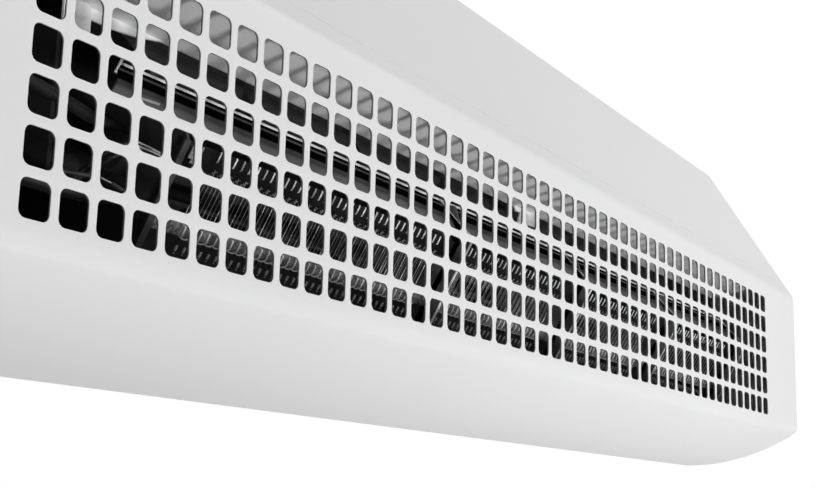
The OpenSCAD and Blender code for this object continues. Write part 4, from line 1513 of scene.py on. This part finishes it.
    def edges(self) -> Obj:
        """Returns the dividers' front edges, coloured near white as a painted highlight."""
        front = self.front_line()
        outline = [(y - 0.4, z) for y, z in front] + [(y + 0.1, z) for y, z in reversed(front)]
        return self.divider("divider_edges", outline, 0.05, HIGHLIT_EDGE)

    def left_plate(self) -> Obj:
        """Returns the left end plate, cut back behind the hood, with the shaft's hole."""
        x = self.bays[0]
        outline = [self.place(self.length, 1.2), self.place(1.6, 1.2),
                   *(self.arc(angle, 1.5) for angle in (161, 155, 149, 143, 137)), *self.plate_top,
                   *(shifted(AXIS, unit(150 - 6 * i), self.shaft_room) for i in range(21)), *self.plate_rear]
        plate = Shape().prism((x - self.plate_t, outline), (x, outline)).object("left_end_plate", DARK)
        return cut(plate, Shape().pin(spot(x, *AXIS), 0, (-4, 4), [(0, 0), (0, 14)], 48).object("shaft_cut", DARK))

    def flange(self) -> Obj:
        """Returns the front flange of the left end plate, down the heater's slope."""
        x = self.bays[0]
        corners = ((x - 3.4, 2.3), (x - 3.4, 1.3), (x, 1.3), (x, 2.3))
        shape = Shape().solid(*([self.at(a, s, m) for a, m in corners] for s in (1.6, self.length)))
        return shape.object("left_plate_flange", GREY)

    def tab(self) -> Obj:
        """Returns the three-cornered tab that holds the heater at its left end."""
        corners = ((2.6, 9.6), (6.4, 2.0), (7.2, 2.0), (7.6, 9.8))
        shape = Shape().solid(*([self.at(self.bays[0] + a, s, m) for a, s in corners] for m in (2.1, 2.9)))
        return shape.object("heater_tab", ZINC)


# ------------------------------------------------------------------ fan and motor bay


@dataclass
class Wheel(Assembly):
    """Cross-flow impeller: curved blades through rings, with a hub at each end."""

    ends: Point = (-272.0, 381.0)
    radius: float = 50.0
    ring_r: float = 40.0
    rim: float = 8.0
    blades: int = 28
    blade_r: float = 8.0
    blade_t: float = 0.8
    blade_arc: Point = (20.0, 112.0)
    sections: int = 7
    disc_t: float = 1.5
    hub: Point = (11.0, 14.0)

    def pieces(self) -> Iterable[tuple]:
        """Makes the wheel: blades, discs with a rounded rim, and hubs."""
        centre, soft = spot(0, *AXIS), 0.4
        shape = Shape().take(self.shop.repeated(self.shop.trees.ring, "blades", self.blade(), WHEEL,
                                                Count=self.blades, Centre=tuple(centre)))
        first, last = self.ends[0], self.ends[1] - self.disc_t
        for i in range(self.sections + 1):
            x = first + (last - first) / self.sections * i
            inner = BORE if i in (0, self.sections) else self.ring_r - self.rim
            rim = [(0, inner), (0, self.radius - soft), (soft, self.radius)]
            shape.pin(centre, 0, (x, x + self.disc_t), rim, 72)
        radius, length = self.hub
        for x in (first + self.disc_t, last - length):
            shape.pin(centre, 0, (x, x + length), [(0, BORE), (0, radius)], 36)
        yield shape.object("impeller_wheel", WHEEL, merge=False), "aluminium", "impeller"

    def blade(self) -> Obj:
        """Returns one blade about the origin: an arc in section, rounded at both edges."""
        middle = ((self.radius + self.ring_r) / 2 - 3 - FRONT, 1 - self.blade_r - BASE)
        mean, half, steps = self.blade_r - self.blade_t / 2, self.blade_t / 2, 6
        start, end = self.blade_arc
        arc = [(start + (end - start) * i / steps, half if 0 < i < steps else half / 2) for i in range(steps + 1)]
        outline = [shifted(middle, unit(angle), mean + h) for angle, h in arc]
        outline += [shifted(middle, unit(angle), mean - h) for angle, h in reversed(arc)]
        return Shape().prism(*((x, outline) for x in self.ends)).object("blade", WHEEL)


@dataclass
class Machinery(Assembly):
    """Shafts, motor, controls and fasteners."""

    DRESSED: ClassVar[dict[str, Finish]] = {
        "drive_shaft": STEEL, "stub_shaft": STEEL, "bearing_holder": RUBBER, "bearing_bush": BRASS,
        "control_box": DARK, "motor_plate": DARK, "terminal_block": BLOCK, "limit_thermostat": BLACK}

    motor: Point = (-361.5, -299.5)
    motor_r: float = 42.0
    cap_r: float = 35.0
    ribs: int = 24
    mount_x: Point = (-297.5, -279.5)
    mount_off: float = 37.0
    can: Point = (170.0, 222.0)
    grips: int = 18
    screw_x: tuple = (-248.0, 54.5, 357.0)
    trim_y: Point = (102.5, 177.5)
    trim_z: float = 10.5
    cap_x: float = 459.0
    cap_y: float = 216.0
    cap_z: Point = (100.0, 140.0)
    flange: Point = (182.0, 14.2)
    clamp: Colour = (-440.0, 199.0, 161.0)
    clamps: int = 5
    clamp_pitch: float = 12.0
    cable_r: float = 2.6
    sleeve_r: float = 0.9
    lead_r: float = 0.38
    thin_r: float = 0.3
    cable_paths: tuple = (
        ((-440, 150, 128), (-405, 112, 120), (-370, 72, 110), (-340, 61, 104), (-314, 60, 100.6), (-298, 60, 97.6),
         (-279.6, 61, 96.2)),
        ((-440, 152, 120), (-410, 110, 92), (-375, 72, 72), (-340, 61, 67), (-314, 60, 66), (-295, 60, 67),
         (-279.6, 62, 70)))
    sleeve_paths: tuple = (
        ((-293, 40, 86.4), (-299, 46, 83), (-303, 61, 72)),
        ((-293, 40, 84.9), (-299, 47, 79), (-303, 62, 70)),
        ((-279.6, 45, 64), (-285, 45.6, 66), (-291.2, 46, 68.4), (-298, 46, 69.9)),
        ((-304, 46, 70.7), (-318, 50, 70), (-330, 60, 67)))
    lead_paths: tuple = (
        ((-279.6, 40, 85.2), (-285.9, 40, 86), (-293, 40, 86.4)),
        ((-279.6, 40, 84.3), (-285, 40, 84.7), (-293, 40, 84.9)))
    thin_path: tuple = ((-298, 46, 69.9), (-304, 46, 70.7))

    def pieces(self) -> Iterable[tuple]:
        """Makes the machinery's pieces."""
        yield self.motor_body(), "motor_paint", "motor_body"
        yield self.tie_bolts(), "steel"
        yield self.mounts(), "rubber", "rubber_mounts"
        yield self.capacitor(), "capacitor_plastic", "run_capacitor"
        yield self.gland(), "black_plastic", "cable_gland"
        yield self.cables(), "black_plastic"
        yield self.leads(), "steel"
        yield from self.screws()

    def around(self, name: str, piece: Obj, finish: Finish, count: int) -> Obj:
        """Repeats a piece about the motor's axis.

        Args:
            name: Name of the result.
            piece: The piece.
            finish: Its finish.
            count: How many there are.

        Returns:
            The pieces as one object.
        """
        return self.shop.repeated(self.shop.trees.ring, name, piece, finish, Count=count,
                                  Centre=tuple(spot(0, *AXIS)))

    def motor_body(self) -> Obj:
        """Returns the motor: a ribbed body between two domed caps."""
        (x0, x1), cap, body = self.motor, self.cap_r, self.motor_r
        half = [(0, BORE), (0, 12), (2, 13), (2.5, cap - 4), (5, cap), (10, cap), (10, body - 1), (11, body)]
        rib = Shape().block((x0 + 12, -1 - FRONT, body - 0.5 - BASE), (x1 - 12, 1 - FRONT, body + 2 - BASE), 0.4)
        shape = Shape().pin(spot(0, *AXIS), 0, self.motor, half, 64)
        shape.take(self.around("ribs", rib.object("rib", MOTOR), MOTOR, self.ribs))
        return shape.object("motor_with_ribs", MOTOR)

    def tie_bolts(self) -> Obj:
        """Returns the four long bolts that hold the motor's caps together."""
        place = Vector((0.0, 0.0, (self.cap_r + 2.0) * MM))
        bolt = Shape().pin(place, 0, self.motor, [(1, 0), (1, 1.6), (8, 1.6), (8, 1.2)], 12)
        return self.around("motor_tie_bolts", bolt.object("bolt", STEEL), STEEL, 4)

    def mounts(self) -> Obj:
        """Returns the four rubber mounts between the fan plate and the motor plate."""
        shape = Shape()
        for y in (-self.mount_off, self.mount_off):
            for z in (-self.mount_off, self.mount_off):
                centre = spot(0, AXIS[0] + y, AXIS[1] + z)
                shape.pin(centre, 0, self.mount_x, [(0, 0), (0, 6), (4, 6), (7, 4.6)], 28)
        return shape.object("motor_mounts", RUBBER)

    def capacitor(self) -> Obj:
        """Returns the run capacitor on its foot."""
        x0, x1 = self.motor[0] + 4, self.motor[1] - 4
        deep, high = self.can
        shape = Shape().spun(spot(0, deep, high), 0, [
            (x0, 0), (x0, 15), (x0 + 1.5, 17), (x0 + 4, 18), (x0 + 5, 17.2), (x1 - 3, 17.2), (x1 - 1, 18), (x1, 17),
            (x1, 14), (x1 - 1, 13), (x1 - 1, 0)], 44)
        shape.block((x0 + 16, deep - 15, high + 9), (x1 - 16, deep + 15, 254.8), 0.6)
        return shape.object("capacitor_can", CAN, merge=False)

    def gland(self) -> Obj:
        """Returns the cable gland: hexagon, ribbed dome nut, thread and lock nut."""
        bore, origin = 5.0, spot(*GLAND)
        thread = [point for i in range(9) for point in ((-7.8 + i * 1.4, 10), (-7.1 + i * 1.4, 9.3))]
        shape = Shape().pin(origin, 2, (0, 5), [(0, 9), (0, 14.4), (0.6, 15)], 6)
        shape.spun(origin, 2, [(4.5, bore), (4.5, 11), (11, 11), (14.5, 9.4), (16, 7.5), (16, bore)], 36)
        shape.spun(origin, 2, [(-8, bore), (-8, 9.6), *thread, (4.8, 9.3), (4.8, bore)], 36)
        shape.pin(origin, 2, (-6.2, -1.2), [(0, 9), (0, 13.4), (0.6, 14)], 6)
        grip = Shape().block((-0.6, -0.6 - FRONT, 5.4 - BASE), (0.6, 0.6 - FRONT, 10.8 - BASE), 0.2)
        turns = [360 / self.grips * i for i in range(self.grips)]
        places = [(origin + Vector((*unit(turn), 0.0)) * 11 * MM, (0.0, 0.0, math.radians(turn))) for turn in turns]
        shape.take(self.shop.scattered("grips", grip.object("grip", BLACK), BLACK, places))
        return shape.object("cord_gland", BLACK, merge=False)

    def cables(self) -> Obj:
        """Returns the sleeved cables between the control box and the heater's end plate."""
        return self.shop.joined("sleeved_cables", BLACK,
                                self.shop.wire("cable", spots(*self.cable_paths), self.cable_r, BLACK, 14),
                                self.shop.wire("sleeve", spots(*self.sleeve_paths), self.sleeve_r, BLACK, 10))

    def leads(self) -> Obj:
        """Returns the bare ends of the leads at the heater's end plate, bare metal coloured near white as painted
        highlights.
        """
        return self.shop.joined("bare_leads", HIGHLIT_WIRE,
                                self.shop.wire("lead", spots(*self.lead_paths), self.lead_r, HIGHLIT_WIRE),
                                self.shop.wire("thin_lead", spots(self.thin_path), self.thin_r, HIGHLIT_WIRE, 6))

    def head(self, radius: float, height: float) -> Obj:
        """Returns a screw head about the origin, facing up, with a cross recess.

        Args:
            radius: Its radius.
            height: Its height.

        Returns:
            The head as an object.
        """
        shape = Shape().spun(Vector(), 2, [
            (0, 0), (0, radius), (height * 0.45, radius), (height * 0.8, radius * 0.85), (height, radius * 0.55),
            (height, 0)], 20)
        bars = [Shape().block((-radius * a, -radius * b - FRONT, height * 0.45 - BASE),
                              (radius * a, radius * b - FRONT, height * 1.3 - BASE)).object("cross", STEEL)
                for a, b in ((0.62, 0.14), (0.14, 0.62))]
        return cut(shape.object("head", STEEL), *bars)

    def screws(self) -> Iterable[tuple]:
        """Makes the screws of the trim, the end caps, the scroll's flange and the terminals."""
        trim = [(spot(x, y, self.trim_z), (math.pi, 0.0, 0.3 * x)) for x in self.screw_x for y in self.trim_y]
        caps = [(spot(x, self.cap_y, z), (-QUARTER, 0.2 * z, 0.0)) for x in (-self.cap_x, self.cap_x)
                for z in self.cap_z]
        flange = [(spot(x, *self.flange), (0.0, 0.0, 0.5 * x)) for x in self.screw_x]
        clamps = [(spot(*self.clamp) + Vector((i * self.clamp_pitch * MM, 0.0, 0.0)), (QUARTER, 0.4 * i, 0.0))
                  for i in range(self.clamps)]
        for name, size, finish, places, slot, *nodes in (
                ("trim_screw_heads", (2.0, 0.45), STEEL, trim, "steel", "trim_screws"),
                ("cap_screw_heads", (3.5, 2.0), STEEL, caps, "steel", "cap_screws"),
                ("flange_screw_heads", (2.0, 2.0), STEEL, flange, "steel", "inner_screws"),
                ("block_screw_heads", (2.6, 1.6), BRASS, clamps, "brass")):
            yield self.shop.scattered(name, self.head(*size), finish, places), slot, *nodes


# ------------------------------------------------------------------ studio


@dataclass(frozen=True)
class Lamp:
    """A soft square lamp round the unit's middle.

    Azimuth is in degrees from straight in front, positive to the right, and
    elevation in degrees above the horizontal. Level is the light on a surface
    that faces the lamp, where 1 shows a white surface as white. Aim is how far
    right of the unit's middle the lamp points, and spread opens its beam.
    """

    name: str
    azimuth: float
    elevation: float
    distance: float
    size: float
    level: float
    aim: float = 0.0
    spread: float = 180.0

    def hang(self) -> None:
        """Adds the lamp to the scene."""
        data = bpy.data.lights.new(self.name, "AREA")
        data.size = self.size
        data.spread = math.radians(self.spread)
        half = data.spread / 2
        data.energy = self.level * (math.pi * self.distance) ** 2 * (1.0 - half / math.tan(half))
        lamp = linked(self.name, data)
        (ca, sa), (ce, se) = unit(self.azimuth), unit(self.elevation)
        lamp.location = Vector((0.0, -0.12, 0.0)) + Vector((sa * ce, -ca * ce, se)) * self.distance
        way = lamp.location - Vector((self.aim, -0.12, 0.0))
        lamp.rotation_euler = way.to_track_quat("Z", "Y").to_euler()


LAMPS = (
    Lamp("key", -27, -27, 3.4, 0.4, 0.72, aim=0.35, spread=60),
    Lamp("top", 45, 45, 2.4, 1.2, 0.27),
    Lamp("low", 60, -60, 2.4, 2.0, 0.27),
    Lamp("near", 25, -5, 1.3, 0.8, 0.06),
    Lamp("side", 75, 10, 1.6, 1.0, 0.02),
    Lamp("back", 160, 25, 2.6, 1.2, 0.45),
)


@dataclass
class Studio:
    """Camera, lamps, world and floor."""

    place: Colour = (-0.6452, -0.5213, -0.18605)
    right: Colour = (0.51482641, -0.85688726, 0.02641934)
    up: Colour = (-0.18427453, -0.08051206, 0.97957169)
    back: Colour = (-0.83725543, -0.50917779, -0.19935224)
    lens: float = 58.42
    ambient: float = 0.25
    floor_z: float = -3.0
    floor_half: float = 6.0

    def build(self) -> None:
        """Sets the scene up."""
        scene = bpy.context.scene
        scene.view_settings.view_transform = "Standard"
        data = bpy.data.cameras.new("camera")
        data.lens, data.clip_start = self.lens, 0.01
        scene.camera = linked("camera", data)
        turn = Matrix((self.right, self.up, self.back)).transposed().to_4x4()
        scene.camera.matrix_world = Matrix.Translation(self.place) @ turn
        scene.world = self._world()
        for lamp in LAMPS:
            lamp.hang()
        shape = Shape()
        bmesh.ops.create_grid(shape.bm, x_segments=1, y_segments=1, size=self.floor_half)
        bmesh.ops.translate(shape.bm, vec=(0.0, 0.0, self.floor_z), verts=shape.bm.verts)
        shape.poured("floor", self._floor_material())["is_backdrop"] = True

    def _world(self) -> bpy.types.World:
        """Returns a world that lights evenly and shows white behind the unit."""
        world = bpy.data.worlds.new("studio")
        world.use_nodes = True
        graph = Graph(world.node_tree)
        rays = graph.node("ShaderNodeLightPath").outputs
        camera, glossy, through = (Val(graph, rays[f"Is {ray} Ray"]) for ray in ("Camera", "Glossy", "Transmission"))
        plain, white = (graph.node("ShaderNodeBackground", None, {"Color": (1, 1, 1, 1), "Strength": strength})
                        for strength in (self.ambient, 1.0))
        mixed = graph.node("ShaderNodeMixShader", None, {
            0: (camera + glossy + through).held(), 1: plain.outputs[0], 2: white.outputs[0]})
        graph.node("ShaderNodeOutputWorld", None, {"Surface": mixed.outputs[0]})
        return world

    @staticmethod
    def _floor_material() -> bpy.types.Material:
        """Returns the plain pale finish of the floor."""
        material = bpy.data.materials.new("pale_floor")
        material.use_nodes = True
        graph = Graph(material.node_tree)
        cloud = noise(graph, graph.node("ShaderNodeTexCoord").outputs["Object"], 3.0)
        tone = blended(graph, cloud, (0.84, 0.84, 0.84), (0.87, 0.87, 0.87))
        surface = graph.node("ShaderNodeBsdfPrincipled", None, {"Base Color": tone, "Roughness": 0.7})
        graph.node("ShaderNodeOutputMaterial", None, {"Surface": surface.outputs[0]})
        return material


def plain(box: Iterable) -> list:
    """Returns a box as plain lists of numbers."""
    return [[float(v) for v in corner] for corner in box]


def main() -> None:
    """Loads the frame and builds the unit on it."""
    logging.basicConfig(level=logging.INFO, format="%(name)s: %(message)s")
    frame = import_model()
    solids = plain(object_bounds())
    shop = Workshop()
    Studio().build()
    for assembly in (Casing, AirPath, Heater, Wheel, Machinery):
        assembly(shop).build(frame)
    {"solids": solids, "visual": plain(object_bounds())}


if __name__ == "__main__":
    main()
